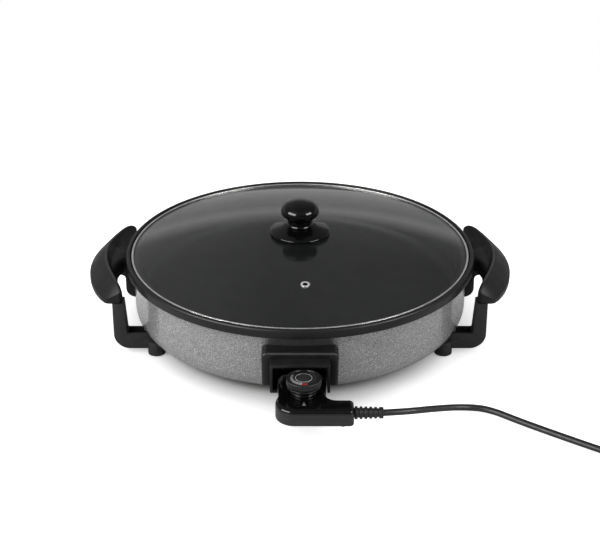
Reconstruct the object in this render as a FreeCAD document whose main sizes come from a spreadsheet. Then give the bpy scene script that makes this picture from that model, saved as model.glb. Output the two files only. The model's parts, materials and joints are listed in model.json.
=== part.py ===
import FreeCAD, Part
import math
import os
import Sketcher
from FreeCAD import Placement, Rotation, Vector

# Electric grill pan: a double-walled round pan on two pairs of legs with crescent grips,
# a lift-off glass lid, and a plug-in thermostat with a dial and a mains cord.
#
# The pieces are drawn about the pan's own axis, with the floor at z = 0, X to the right and
# the thermostat on the -Y side. Every sub-part's Placement then moves it back by pan_y, which
# puts the model's origin under the middle of its footprint.

doc = FreeCAD.newDocument("electric_grill_pan")
sheet = doc.addObject("Spreadsheet::Sheet", "Sizes")


class Size:
    """A length together with the sheet expression that gives it."""

    def __init__(self, value, text):
        self.value = value
        self.text = text

    def __add__(self, other):
        other = as_size(other)
        return Size(self.value + other.value, "(%s + %s)" % (self.text, other.text))

    def __sub__(self, other):
        other = as_size(other)
        return Size(self.value - other.value, "(%s - %s)" % (self.text, other.text))

    def __mul__(self, other):
        other = as_size(other)
        return Size(self.value * other.value, "(%s * %s)" % (self.text, other.text))

    def __truediv__(self, other):
        other = as_size(other)
        return Size(self.value / other.value, "(%s / %s)" % (self.text, other.text))

    def __neg__(self):
        return self * -1

    def __radd__(self, other):
        return as_size(other) + self

    def __rsub__(self, other):
        return as_size(other) - self

    def __rmul__(self, other):
        return as_size(other) * self


def as_size(number):
    if isinstance(number, Size):
        return number
    return Size(float(number), repr(float(number)))


def root(size):
    return Size(math.sqrt(size.value), "sqrt(%s)" % size.text)


sheet_row = 0


def size(alias, value, meaning):
    """Write one driving dimension into the sheet and return it."""
    global sheet_row
    sheet_row += 1
    sheet.set("A%d" % sheet_row, meaning)
    sheet.set("B%d" % sheet_row, str(value))
    sheet.setAlias("B%d" % sheet_row, alias)
    return Size(float(value), "Sizes.%s" % alias)


def derived(alias, amount, meaning):
    """Write a dimension that follows from others into the sheet as a formula, and return it."""
    global sheet_row
    sheet_row += 1
    sheet.set("A%d" % sheet_row, meaning)
    sheet.set("B%d" % sheet_row, "=" + amount.text.replace("Sizes.", ""))
    sheet.setAlias("B%d" % sheet_row, alias)
    return Size(amount.value, "Sizes.%s" % alias)


# Pan and rim
rim_radius = size("rim_radius", 212, "outer radius of the rolled rim")
rim_top = size("rim_top", 95, "height of the rim above the floor")
rim_drop = size("rim_drop", 11.5, "height of the rim's outer band")
rim_wall = size("rim_wall", 2.5, "thickness of the rim's outer band")
rim_shoulder = size("rim_shoulder", 3.2, "radius of the rim's outer shoulder")
rim_lip = size("rim_lip", 4.8, "width of the rim outside the lid seat")
seat_depth = size("seat_depth", 6.6, "depth of the lid seat below the rim")
seat_thick = size("seat_thick", 2.6, "thickness of the lid seat")
rim_overhang = size("rim_overhang", 9, "how far the rim stands out beyond the shell")
shell_radius = derived("shell_radius", rim_radius - rim_overhang, "outer radius of the outer shell")
shell_wall = size("shell_wall", 1.4, "thickness of the outer shell")
shell_corner = size("shell_corner", 25, "outer radius of the shell's bottom corner")
shell_bottom = size("shell_bottom", 7.4, "height of the shell above the floor")
shell_flange = size("shell_flange", 35, "width of the shell's bottom from wall to opening")
wall_space = size("wall_space", 2.6, "air space between shell and inner pan")
pan_wall = size("pan_wall", 2.7, "thickness of the inner pan's wall")
pan_floor = size("pan_floor", 39, "height of the cooking floor above the ground")
floor_thick = size("floor_thick", 4.5, "thickness of the cooking floor")
pan_corner = size("pan_corner", 12, "inner radius between floor and wall")

# Bottom cover and its screws
cover_thick = size("cover_thick", 1, "thickness of the bottom cover")
cover_lap = size("cover_lap", 6, "overlap of the bottom cover on the shell")
cover_screw_inset = size("cover_screw_inset", 18, "distance of the cover's screws inside the shell's opening")
shell_opening = derived("shell_opening", shell_radius - shell_flange, "radius of the shell's bottom opening")
cover_screw_circle = derived("cover_screw_circle", shell_opening - cover_screw_inset,
                             "radius of the cover's screw circle")
slot_inset = size("slot_inset", 50, "distance of the vent slots inside the screw circle")
slot_length = size("slot_length", 40, "length of a vent slot")
slot_end = derived("slot_end", cover_screw_circle - slot_inset, "outer end of a vent slot")
slot_start = derived("slot_start", slot_end - slot_length, "inner end of a vent slot")
slot_width = size("slot_width", 6, "width of a vent slot")
boss_radius = size("boss_radius", 6, "radius of a cast screw boss")
screw_radius = size("screw_radius", 2, "radius of an M4 screw")
head_radius = size("head_radius", 3.8, "radius of an M4 pan head")
head_height = size("head_height", 2.4, "height of an M4 pan head")
hole_clearance = size("hole_clearance", 0.3, "radial clearance of a screw hole")

# Heating element, probe guide and terminals
element_inset = size("element_inset", 25, "distance of the heating ring inside the screw circle")
element_circle = derived("element_circle", cover_screw_circle - element_inset,
                         "mean radius of the heating ring")
element_radius = size("element_radius", 4, "radius of the heating tube")
pin_offset = size("pin_offset", 12.5, "distance of each line pin from the centre")
pin_radius = size("pin_radius", 2.25, "radius of a line pin")
pin_reach = size("pin_reach", 18, "length of a pin in front of its carrier")
insulator_radius = size("insulator_radius", 5, "radius of a ceramic insulator")
insulator_length = size("insulator_length", 14, "length of a ceramic insulator")
clip_width = size("clip_width", 14, "width of an element clip")
clip_thick = size("clip_thick", 1, "thickness of an element clip")
guide_wall = size("guide_wall", 0.6, "wall of the probe guide")
guide_length = size("guide_length", 87.5, "length of the probe guide")
probe_radius = size("probe_radius", 3.15, "radius of the thermostat's probe")
probe_clearance = size("probe_clearance", 0.25, "radial clearance of the probe in its guide")
probe_length = size("probe_length", 92, "length of the probe in front of the connector")

# Socket
carrier_gap = size("carrier_gap", 0.8, "distance of the pin carrier from the shell")
carrier_thick = size("carrier_thick", 1.5, "thickness of the pin carrier")
carrier_low = size("carrier_low", 21.5, "height of the pin carrier's lower edge")
carrier_high = size("carrier_high", 56, "height of the pin carrier's upper edge")
socket_screw_x = size("socket_screw_x", 23.7, "sideways distance of each socket screw")
socket_screw_z = size("socket_screw_z", 50, "height of the socket screws")
pin_gap = size("pin_gap", 2, "space around an insulator in the shell's window")
earth_rise = size("earth_rise", 12, "height of the earth pin above the line pins")
housing_width = size("housing_width", 86, "width of the socket housing")
housing_low = size("housing_low", 29.2, "height of the housing's lower edge")
housing_high = size("housing_high", 71, "height of the housing's top")
housing_depth = size("housing_depth", 17, "how far the housing stands out of the shell")
housing_front = derived("housing_front", shell_radius + housing_depth,
                        "distance of the housing's front from the axis")
housing_round = size("housing_round", 3, "radius of the housing's edges")
collar_width = size("collar_width", 66.4, "outer width of the socket collar")
collar_low = size("collar_low", 30.6, "height of the collar's lower edge")
collar_high = size("collar_high", 65, "height of the collar's top")
collar_reach = size("collar_reach", 17, "how far the collar stands out of the housing")
collar_front = derived("collar_front", housing_front + collar_reach,
                       "distance of the collar's front from the axis")
collar_wall = size("collar_wall", 3, "wall of the socket collar")
fit_gap = size("fit_gap", 0.3, "gap between pieces that fit into each other")

# Legs
grip_length = size("grip_length", 92, "distance of a grip's end from its middle")
leg_front = derived("leg_front", grip_length + 1, "distance of a leg's outer face from the middle")
leg_depth = size("leg_depth", 19.5, "depth of a leg from face to face")
leg_stand = size("leg_stand", 18.2, "how far a leg's outer edge stands out of the shell")
leg_outer = derived("leg_outer", shell_radius + leg_stand, "distance of a leg's outer edge from the axis")
leg_width_top = size("leg_width_top", 12.8, "width of a leg below the grip")
leg_width_low = size("leg_width_low", 15.6, "width of a leg above its arm")
leg_corner = size("leg_corner", 19, "radius of a leg's outer bottom corner")
arm_low = size("arm_low", 6.5, "height of an arm's underside")
arm_height = size("arm_height", 20, "height of an arm")
arm_wall = size("arm_wall", 2.8, "wall of an arm's channel")
foot_inset = size("foot_inset", 8.8, "distance of a foot's axis inside the shell's radius")
foot_y = derived("foot_y", leg_front - 1, "distance of a foot from the middle, front to back")
foot_circle = derived("foot_circle", shell_radius - foot_inset, "distance of a foot from the pan's axis")
foot_x = derived("foot_x", root(foot_circle * foot_circle - foot_y * foot_y),
                 "distance of a foot from the middle, sideways")
foot_radius = size("foot_radius", 10.5, "radius of a foot column")
foot_top = size("foot_top", 18, "height to which a foot column is drawn before it is cut")
pad_radius = size("pad_radius", 8.5, "radius of a rubber foot pad")
pad_height = size("pad_height", 3, "height of a rubber foot pad")
pad_proud = size("pad_proud", 0.8, "height of a pad below its foot column")

# Grips
grip_low = size("grip_low", 65.8, "height of a grip's underside")
grip_band = size("grip_band", 6, "height of a grip's edge band")
grip_overhang = size("grip_overhang", 35.9, "how far a grip stands out beyond its legs")
grip_outer = derived("grip_outer", leg_outer + grip_overhang, "distance of a grip's outer edge from the axis")
ridge_inset = size("ridge_inset", 20.9, "distance of a grip's ridge inside its outer edge")
grip_ridge = derived("grip_ridge", grip_outer - ridge_inset, "distance of a grip's ridge from the axis")
grip_width = size("grip_width", 35.1, "width of a grip's underside in its middle")
grip_inner = derived("grip_inner", grip_outer - grip_width, "distance of a grip's inner edge from the axis")
grip_rise = size("grip_rise", 29.2, "height of a grip above its underside, up to where its slopes meet")
grip_high = derived("grip_high", grip_low + grip_rise, "height at which a grip's two slopes would meet")
grip_end_outer = size("grip_end_outer", 9, "radius of a grip's outer end corners")
grip_end_inner = size("grip_end_inner", 6, "radius of a grip's inner end corners")
stay_width = size("stay_width", 30, "width of the stay below a grip")
stay_thick = size("stay_thick", 10.5, "thickness of the stay in front of the shell")
stay_outer = derived("stay_outer", shell_radius + stay_thick, "distance of the stay's outer face from the axis")
stay_low = size("stay_low", 35.5, "height of the stay's lower end")
stay_corner = size("stay_corner", 12, "radius of the stay's outer lower corner")
stay_screw_z = size("stay_screw_z", 54, "height of the screw through a stay")
stud_inset = size("stud_inset", 5.2, "distance of a grip stud from its leg's outer face")
stud_half = size("stud_half", 9, "length of a grip stud on each side of the joint")

# Lid
band_width = size("band_width", 3.6, "width of the lid's rim band")
band_height = size("band_height", 5.3, "height of the lid's rim band")
band_play = size("band_play", 1.2, "play of the lid band inside the rim")
seat_play = size("seat_play", 0.1, "distance of the lid band above its seat")
glass_thick = size("glass_thick", 3.2, "thickness of the lid's glass")
glass_inset = size("glass_inset", 2.4, "distance of the glass's edge inside the band's outside")
seat_radius = derived("seat_radius", rim_radius - rim_lip, "radius of the rim above the lid seat")
band_outside = derived("band_outside", seat_radius - band_play, "outer radius of the lid's band")
glass_edge = derived("glass_edge", band_outside - glass_inset, "radius of the lid's glass")
glass_seat = size("glass_seat", 4.1, "height of the glass's edge above the lid seat")
glass_edge_top = derived("glass_edge_top", rim_top - seat_depth + glass_seat,
                         "height of the glass at its edge")
dome_rise = size("dome_rise", 23.9, "rise of the glass from its edge to its centre")
dome_top = derived("dome_top", glass_edge_top + dome_rise, "height of the glass at its centre")
knob_hole = size("knob_hole", 4, "radius of the hole for the knob screw")
flange_radius = size("flange_radius", 37.2, "radius of the knob's flange")
seal_height = size("seal_height", 0.6, "height of the seal between glass and flange")
flange_low = derived("flange_low", dome_top + seal_height, "height of the flange's underside")
flange_edge = size("flange_edge", 2.4, "thickness of the flange at its edge")
flange_height = size("flange_height", 9.6, "height of the flange below the knob")
neck_low = derived("neck_low", flange_low + flange_height, "height at which the knob stands on its flange")
neck_radius = size("neck_radius", 15.1, "radius of the knob's neck")
knob_radius = size("knob_radius", 23.2, "largest radius of the knob")
neck_height = size("neck_height", 18.3, "height of the knob up to its largest radius")
knob_waist = derived("knob_waist", neck_low + neck_height, "height of the knob's largest radius")
crown_height = size("crown_height", 11.6, "height of the knob above its largest radius")
knob_top = derived("knob_top", knob_waist + crown_height, "height of the knob's top")
seal_radius = size("seal_radius", 12, "radius of the silicone seal")
washer_radius = size("washer_radius", 11, "radius of the washer below the glass")
washer_thick = size("washer_thick", 1.2, "thickness of the washer below the glass")
vent_x = size("vent_x", 6, "sideways place of the vent eyelet")
vent_y = size("vent_y", 124.5, "distance of the vent eyelet in front of the centre")
vent_radius = size("vent_radius", 3.4, "radius of the vent eyelet's barrel")
vent_bore = size("vent_bore", 2.5, "radius of the vent eyelet's hole")
vent_flange = size("vent_flange", 5.6, "radius of the vent eyelet's flange")
vent_flange_thick = size("vent_flange_thick", 0.7, "thickness of the vent eyelet's flange")

# Thermostat
contact_z = size("contact_z", 30.5, "height of the probe and the line pins")
case_drop = size("case_drop", 11.5, "depth of the thermostat below the probe")
case_low = derived("case_low", contact_z - case_drop, "height of the thermostat's underside")
lower_height = size("lower_height", 9, "height of the lower case")
case_seam = derived("case_seam", case_low + lower_height, "height of the seam between the two cases")
upper_height = size("upper_height", 5.8, "height of the upper case")
case_cover = derived("case_cover", case_seam + upper_height, "height of the seam below the glossy cover")
cover_height = size("cover_height", 5.2, "height of the glossy cover")
case_high = derived("case_high", case_cover + cover_height, "height of the thermostat's top")
case_wall = size("case_wall", 2, "wall of the thermostat's cases")
case_inset = size("case_inset", 6.5, "distance of the case's back inside the collar's front")
case_back = derived("case_back", collar_front - case_inset, "distance of the case's back from the axis")
case_depth = size("case_depth", 58.5, "depth of the case from back to front")
case_front = derived("case_front", case_back + case_depth, "distance of the thermostat's front from the axis")
case_round = size("case_round", 4.6, "radius along the cover's upper edge")
cover_plate = size("cover_plate", 2.2, "thickness of the cover above its hollow")
post_radius = size("post_radius", 3.5, "radius of a screw post below the cover")
post_bore = size("post_bore", 1.5, "radius of a case screw")
block_height = size("block_height", 6, "height of the switch block")
stem_width = size("stem_width", 52.6, "width of the thermostat's stem")
stem_shift = size("stem_shift", 2.3, "sideways shift of the stem from the probe")
case_flare = size("case_flare", 2.8, "how far the case stands out to the left of its stem")
case_corner = derived("case_corner", case_depth * 0.359, "radius of the case's front left corner")
flare_start = derived("flare_start", case_depth * 0.393, "distance from the case's back to where it flares")
flare_end = derived("flare_end", case_depth * 0.564, "distance from the case's back to the end of its flare")
arm_end = size("arm_end", 58.2, "distance of the cord arm's end from the probe")
arm_width = size("arm_width", 25.7, "width of the cord arm")
arm_back = derived("arm_back", case_front - arm_width, "distance of the cord arm's back from the axis")
arm_fillet = size("arm_fillet", 12, "radius between stem and cord arm")
arm_corner = size("arm_corner", 5, "radius of the cord arm's end corners")
carrier_back = derived("carrier_back", shell_radius + carrier_gap, "distance of the carrier's back from the axis")
lip_gap = size("lip_gap", 0.6, "gap between the collar's bottom lip and the plug")
lip_back = derived("lip_back", carrier_back + carrier_thick + fit_gap,
                   "distance of the bottom lip's back from the axis")
head_gap = size("head_gap", 7.7, "space between the pin carrier and the connector head")
head_back = derived("head_back", carrier_back + carrier_thick + head_gap,
                    "distance of the connector head's back from the axis")
head_rise = size("head_rise", 19.5, "height of the connector head above the probe")
head_high = derived("head_high", contact_z + head_rise, "height of the connector head's top")
head_round = size("head_round", 9, "radius of the connector head's upper corners")
contact_bore = size("contact_bore", 2.55, "inner radius of a contact tube")
contact_wall = size("contact_wall", 0.7, "wall of a contact tube")
contact_length = size("contact_length", 17, "length of a contact tube")

# Dial
dial_x = size("dial_x", 4, "sideways place of the dial")
dial_setback = size("dial_setback", 21.6, "distance of the dial in front of the case's back")
dial_y = derived("dial_y", case_back + dial_setback, "distance of the dial from the pan's axis")
dial_radius = size("dial_radius", 19.4, "radius of the dial")
dial_rise = size("dial_rise", 20, "height of the dial's top above the case")
dial_top = derived("dial_top", case_high + dial_rise, "height of the dial's top")
dial_rim = size("dial_rim", 9.8, "height of the dial's ribbed side")
skirt_radius = size("skirt_radius", 15.4, "radius of the dial's lower collar")
bezel_radius = size("bezel_radius", 14, "radius of the fixed bezel")
bezel_height = size("bezel_height", 3.6, "height of the fixed bezel")
dial_gap = size("dial_gap", 0.4, "gap below the dial")
insert_radius = size("insert_radius", 9.6, "radius of the dial's face insert")
insert_proud = size("insert_proud", 0.3, "height of the face insert above the dial")
insert_depth = size("insert_depth", 1.2, "depth of the face insert in the dial")
spindle_radius = size("spindle_radius", 3, "radius of the dial's spindle")
spindle_clearance = size("spindle_clearance", 0.3, "radial clearance of the spindle")

# Cord and plug
cord_radius = size("cord_radius", 3.75, "radius of the cord")
relief_length = size("relief_length", 31.8, "length of the strain relief outside the case")
relief_inset = size("relief_inset", 14, "distance of the strain relief behind the case's front")
relief_y = derived("relief_y", case_front - relief_inset, "distance of the strain relief from the pan's axis")
relief_rise = size("relief_rise", 9.5, "height of the strain relief above the case's underside")
relief_z = derived("relief_z", case_low + relief_rise, "height of the strain relief's axis")
relief_rib = size("relief_rib", 7.3, "radius of the strain relief's first rib")
relief_rib_end = size("relief_rib_end", 6.3, "radius of the strain relief's last rib")
relief_core = size("relief_core", 4.5, "radius of the strain relief between its ribs")
relief_flange = size("relief_flange", 5.2, "radius of the strain relief's flange inside the case")
coil_radius = size("coil_radius", 42.5, "mean radius of the cord's coil")
coil_height = size("coil_height", 14, "height of the cord's coil")
plug_radius = size("plug_radius", 18.5, "radius of the plug's face")
plug_body = size("plug_body", 34, "length of the plug's body")
plug_boot = size("plug_boot", 22, "length of the plug's boot")
plug_pin_radius = size("plug_pin_radius", 2.4, "radius of a plug pin")
plug_pin_length = size("plug_pin_length", 19, "length of a plug pin")
plug_pin_pitch = size("plug_pin_pitch", 19, "distance between the plug's pins")

# The model's origin lies halfway between the front of the thermostat and the back of the rim.
pan_y = (case_front - rim_radius) / 2

doc.recompute()

sub_parts = []

UPRIGHT = Rotation()
TO_FRONT = Rotation(Vector(1, 0, 0), 90)
TO_BACK = Rotation(Vector(1, 0, 0), -90)
TO_RIGHT = Rotation(Vector(0, 1, 0), 90)


def bind(thing, prop, amount):
    """Drive a property by the sheet."""
    thing.setExpression(prop, as_size(amount).text)


def put(thing, x=0, y=0, z=0, turn=UPRIGHT):
    """Place a component at bound coordinates about the pan's axis."""
    where = [as_size(x), as_size(y), as_size(z)]
    thing.Placement = Placement(Vector(*[w.value for w in where]), turn)
    for axis, w in zip("xyz", where):
        thing.setExpression("Placement.Base.%s" % axis, w.text)
    return thing


def finish(thing, label, x=0, y=0, z=0, turn=UPRIGHT):
    """Give a sub-part its name and its place in the model."""
    thing.Label = label
    put(thing, x, as_size(y) + pan_y, z, turn)
    sub_parts.append(thing)
    return thing


# Primitives and booleans

def cylinder(radius, height, x=0, y=0, z=0, turn=UPRIGHT):
    thing = doc.addObject("Part::Cylinder", "cylinder")
    bind(thing, "Radius", radius)
    bind(thing, "Height", height)
    return put(thing, x, y, z, turn)


def box(length, width, height, x=0, y=0, z=0):
    thing = doc.addObject("Part::Box", "box")
    bind(thing, "Length", length)
    bind(thing, "Width", width)
    bind(thing, "Height", height)
    return put(thing, x, y, z)


def sphere(radius, x=0, y=0, z=0):
    thing = doc.addObject("Part::Sphere", "sphere")
    bind(thing, "Radius", radius)
    return put(thing, x, y, z)


def fuse(*things):
    joined = doc.addObject("Part::MultiFuse", "fuse")
    joined.Shapes = list(things)
    return joined


def common(*things):
    shared = doc.addObject("Part::MultiCommon", "common")
    shared.Shapes = list(things)
    return shared


def cut(base, tool):
    rest = doc.addObject("Part::Cut", "cut")
    rest.Base = base
    rest.Tool = tool
    return rest


def group(things):
    """Several equal solids in one sub-part."""
    together = doc.addObject("Part::Compound", "group")
    together.Links = list(things)
    return together


def screw(length, x, y, z, turn=UPRIGHT, head=head_radius, shank=screw_radius):
    """A pan-head screw; its shank runs along its own +Z from the head's underside."""
    parts = fuse(cylinder(head, head_height, z=-head_height), cylinder(shank, length))
    return put(parts, x, y, z, turn)


# Sketches

def origin_plane(body, role):
    for feature in body.Origin.OriginFeatures:
        if feature.Role == role:
            return feature
    raise ValueError("no such plane: " + role)


def new_body(name):
    return doc.addObject("PartDesign::Body", name)


def new_sketch(body, role="XZ_Plane", offset=0):
    sketch = body.newObject("Sketcher::SketchObject", body.Name + "_sketch")
    sketch.AttachmentSupport = [(origin_plane(body, role), "")]
    sketch.MapMode = "FlatFace"
    offset = as_size(offset)
    sketch.AttachmentOffset = Placement(Vector(0, 0, offset.value), Rotation())
    sketch.setExpression("AttachmentOffset.Base.z", offset.text)
    return sketch


def constrain(sketch, kind, *what, amount=None):
    """Add a constraint; an amount is a Size and drives it."""
    if amount is None:
        return sketch.addConstraint(Sketcher.Constraint(kind, *what))
    index = sketch.addConstraint(Sketcher.Constraint(kind, *what, amount.value))
    sketch.setExpression("Constraints[%d]" % index, amount.text)
    return index


HORIZONTAL_AXIS, VERTICAL_AXIS = range(-1, -3, -1)
START, END, CENTRE = range(1, 4)


def locate(sketch, geometry, point, x, y):
    """Hold a point at bound coordinates."""
    x = as_size(x)
    y = as_size(y)
    if x.value == 0:
        constrain(sketch, "PointOnObject", geometry, point, VERTICAL_AXIS)
    else:
        constrain(sketch, "DistanceX", HORIZONTAL_AXIS, START, geometry, point, amount=x)
    if y.value == 0:
        constrain(sketch, "PointOnObject", geometry, point, HORIZONTAL_AXIS)
    else:
        constrain(sketch, "DistanceY", HORIZONTAL_AXIS, START, geometry, point, amount=y)


def corner_arc(before, corner, after, radius):
    """Tangent points, arc and turning direction of a rounded corner."""
    to_before = (before - corner).normalize()
    to_after = (after - corner).normalize()
    half = math.acos(max(-1, min(1, to_before.dot(to_after)))) / 2
    reach = radius / math.tan(half)
    centre = corner + (to_before + to_after).normalize() * (radius / math.sin(half))
    first = corner + to_before * reach
    last = corner + to_after * reach
    left_turn = to_before.cross(to_after).z < 0
    start, end = (first, last) if left_turn else (last, first)
    begin = math.atan2(start.y - centre.y, start.x - centre.x)
    finish_angle = math.atan2(end.y - centre.y, end.x - centre.x)
    if finish_angle < begin:
        finish_angle += 2 * math.pi
    circle = Part.Circle(centre, Vector(0, 0, 1), radius)
    return first, last, Part.ArcOfCircle(circle, begin, finish_angle), left_turn


def outline(sketch, corners):
    """A closed outline of straight sides; a corner is (x, y) or (x, y, radius)."""
    count = len(corners)
    spots = [Vector(as_size(c[0]).value, as_size(c[1]).value, 0) for c in corners]
    radii = [as_size(c[2]) if len(c) > 2 else None for c in corners]
    arrive = []
    leave = []
    arcs = {}
    for i in range(count):
        if radii[i] is None:
            arrive.append(spots[i])
            leave.append(spots[i])
            continue
        first, last, arc, left_turn = corner_arc(spots[i - 1], spots[i], spots[(i + 1) % count],
                                                 radii[i].value)
        arrive.append(first)
        leave.append(last)
        arcs[i] = (arc, left_turn)
    sides = []
    for i in range(count):
        side = Part.LineSegment(leave[i], arrive[(i + 1) % count])
        sides.append(sketch.addGeometry(side, False))
    for i in range(count):
        before = sides[i - 1]
        after = sides[i]
        if i not in arcs:
            constrain(sketch, "Coincident", before, END, after, START)
            locate(sketch, after, START, corners[i][0], corners[i][1])
            continue
        arc, left_turn = arcs[i]
        curve = sketch.addGeometry(arc, False)
        near, far = (START, END) if left_turn else (END, START)
        constrain(sketch, "Tangent", before, END, curve, near)
        constrain(sketch, "Tangent", curve, far, after, START)
        constrain(sketch, "Radius", curve, amount=radii[i])
        mark = sketch.addGeometry(Part.Point(spots[i]), True)
        constrain(sketch, "PointOnObject", mark, START, before)
        constrain(sketch, "PointOnObject", mark, START, after)
        locate(sketch, mark, START, corners[i][0], corners[i][1])


def circle(sketch, x, y, radius):
    x = as_size(x)
    y = as_size(y)
    radius = as_size(radius)
    shape = Part.Circle(Vector(x.value, y.value, 0), Vector(0, 0, 1), radius.value)
    index = sketch.addGeometry(shape, False)
    constrain(sketch, "Radius", index, amount=radius)
    locate(sketch, index, CENTRE, x, y)


# PartDesign features

def revolve(body, corners, groove=False):
    """Turn an outline in the XZ plane about the body's own Z axis."""
    sketch = new_sketch(body)
    outline(sketch, corners)
    kind = "PartDesign::Groove" if groove else "PartDesign::Revolution"
    feature = body.newObject(kind, body.Name + "_turned")
    feature.Profile = sketch
    feature.ReferenceAxis = (sketch, ["V_Axis"])
    feature.Angle = 360
    sketch.Visibility = False
    return feature


def pad(body, sketch, length, both_ways=False, backwards=False):
    feature = body.newObject("PartDesign::Pad", body.Name + "_pad")
    feature.Profile = sketch
    feature.Midplane = both_ways
    feature.Reversed = backwards
    bind(feature, "Length", length)
    return feature


def pocket(body, sketch, length=None, both_ways=False, backwards=False):
    """Cut a sketch out of the body, and make sure that it did cut something."""
    doc.recompute()
    volume = body.Shape.Volume
    feature = body.newObject("PartDesign::Pocket", body.Name + "_pocket")
    feature.Profile = sketch
    feature.Midplane = both_ways
    feature.Reversed = backwards
    if length is None:
        feature.Type = "ThroughAll"
    else:
        bind(feature, "Length", length)
    doc.recompute()
    if body.Shape.Volume > volume - 1:
        raise ValueError(body.Name + ": a pocket cut nothing")
    return feature


def around(count, feature, body):
    """Repeat a feature about the body's Z axis."""
    pattern = body.newObject("PartDesign::PolarPattern", body.Name + "_pattern")
    pattern.Originals = [feature]
    pattern.Axis = (origin_plane(body, "Z_Axis"), [""])
    pattern.Angle = 360
    pattern.Occurrences = count
    body.Tip = pattern
    return pattern


# Heights and radii that several pieces share
seat_z = rim_top - seat_depth
seat_under = seat_z - seat_thick
floor_under = pan_floor - floor_thick
shell_inside = shell_radius - shell_wall
pan_outside = shell_inside - wall_space
pan_inside = pan_outside - pan_wall
cover_radius = shell_opening + cover_lap
cover_under = shell_bottom - cover_thick


def inner_pan():
    """Cast pan with the rolled rim, the lid seat and the screw bosses below its floor."""
    body = new_body("inner_pan")
    revolve(body, [
        (0, floor_under),
        (pan_outside, floor_under, pan_corner + pan_wall),
        (pan_outside, seat_under),
        (rim_radius - rim_wall, seat_under),
        (rim_radius - rim_wall, rim_top - rim_drop),
        (rim_radius, rim_top - rim_drop, 0.8),
        (rim_radius, rim_top, rim_shoulder),
        (seat_radius, rim_top, 1.2),
        (seat_radius, seat_z),
        (pan_inside, seat_z, 1),
        (pan_inside, pan_floor, pan_corner),
        (0, pan_floor),
    ])
    corner_bosses = new_sketch(body, "XY_Plane", foot_boss_low)
    for x_side in (-1, 1):
        for y_side in (-1, 1):
            circle(corner_bosses, foot_x * x_side, foot_y * y_side, boss_radius)
    pad(body, corner_bosses, floor_under + floor_thick / 2 - foot_boss_low)
    cover_boss = new_sketch(body, "XY_Plane", shell_bottom)
    circle(cover_boss, cover_screw_circle / root(as_size(2)), cover_screw_circle / root(as_size(2)),
           boss_radius)
    post = pad(body, cover_boss, floor_under + floor_thick / 2 - shell_bottom)
    doc.recompute()
    around(4, post, body)
    holes = new_sketch(body, "XY_Plane", shell_bottom)
    for x_side in (-1, 1):
        for y_side in (-1, 1):
            circle(holes, foot_x * x_side, foot_y * y_side, screw_radius)
            circle(holes, cover_screw_circle / root(as_size(2)) * x_side,
                   cover_screw_circle / root(as_size(2)) * y_side, screw_radius)
    pocket(body, holes, floor_under - shell_bottom + 1, backwards=True)
    finish(body, "inner_pan")


# The boss above a foot ends clear of the shell's rounded bottom corner.
boss_far = foot_circle + boss_radius - (shell_radius - shell_corner)
foot_boss_low = (shell_bottom + shell_corner + fit_gap
                 - root((shell_corner - shell_wall) * (shell_corner - shell_wall) - boss_far * boss_far))


def outer_shell():
    """Pressed shell: wall, rounded bottom corner and flat bottom ring."""
    body = new_body("outer_shell")
    revolve(body, [
        (shell_radius, seat_under),
        (shell_inside, seat_under),
        (shell_inside, shell_bottom + shell_wall, shell_corner - shell_wall),
        (shell_opening, shell_bottom + shell_wall),
        (shell_opening, shell_bottom),
        (shell_radius, shell_bottom, shell_corner),
    ])
    window = new_sketch(body)
    side = pin_offset + insulator_radius + pin_gap
    low = contact_z - insulator_radius - pin_gap
    high = contact_z + insulator_radius + pin_gap
    outline(window, [(-side, low, 2), (side, low, 2), (side, high, 2), (-side, high, 2)])
    pocket(body, window, backwards=True)
    holes = new_sketch(body, "XY_Plane")
    for x_side in (-1, 1):
        for y_side in (-1, 1):
            circle(holes, foot_x * x_side, foot_y * y_side, screw_radius + hole_clearance)
    pocket(body, holes, floor_under, backwards=True)
    stay_holes = new_sketch(body, "YZ_Plane")
    circle(stay_holes, 0, stay_screw_z, screw_radius)
    pocket(body, stay_holes, rim_radius * 2, both_ways=True)
    socket_holes = new_sketch(body)
    for side in (-1, 1):
        circle(socket_holes, socket_screw_x * side, socket_screw_z, post_bore)
    pocket(body, socket_holes, rim_radius, backwards=True)
    finish(body, "outer_shell")


def bottom_cover():
    """Flat cover below the shell's opening, with a ring of vent slots."""
    body = new_body("bottom_cover")
    disc = new_sketch(body, "XY_Plane", cover_under)
    circle(disc, 0, 0, cover_radius)
    pad(body, disc, cover_thick)
    holes = new_sketch(body, "XY_Plane", cover_under)
    spot = cover_screw_circle / root(as_size(2))
    for x_side in (-1, 1):
        for y_side in (-1, 1):
            circle(holes, spot * x_side, spot * y_side, screw_radius + hole_clearance)
    pocket(body, holes, cover_thick, backwards=True)
    slot = new_sketch(body, "XY_Plane", cover_under)
    half = slot_width / 2
    outline(slot, [(slot_start, -half, 2.5), (slot_end, -half, 2.5),
                   (slot_end, half, 2.5), (slot_start, half, 2.5)])
    vent = pocket(body, slot, cover_thick, backwards=True)
    around(12, vent, body)
    finish(body, "bottom_cover")


def cover_screws():
    spot = cover_screw_circle / root(as_size(2))
    length = floor_under - cover_under - 8
    screws = [screw(length, spot * sx, spot * sy, cover_under) for sx in (-1, 1) for sy in (-1, 1)]
    finish(group(screws), "cover_screws")


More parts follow.
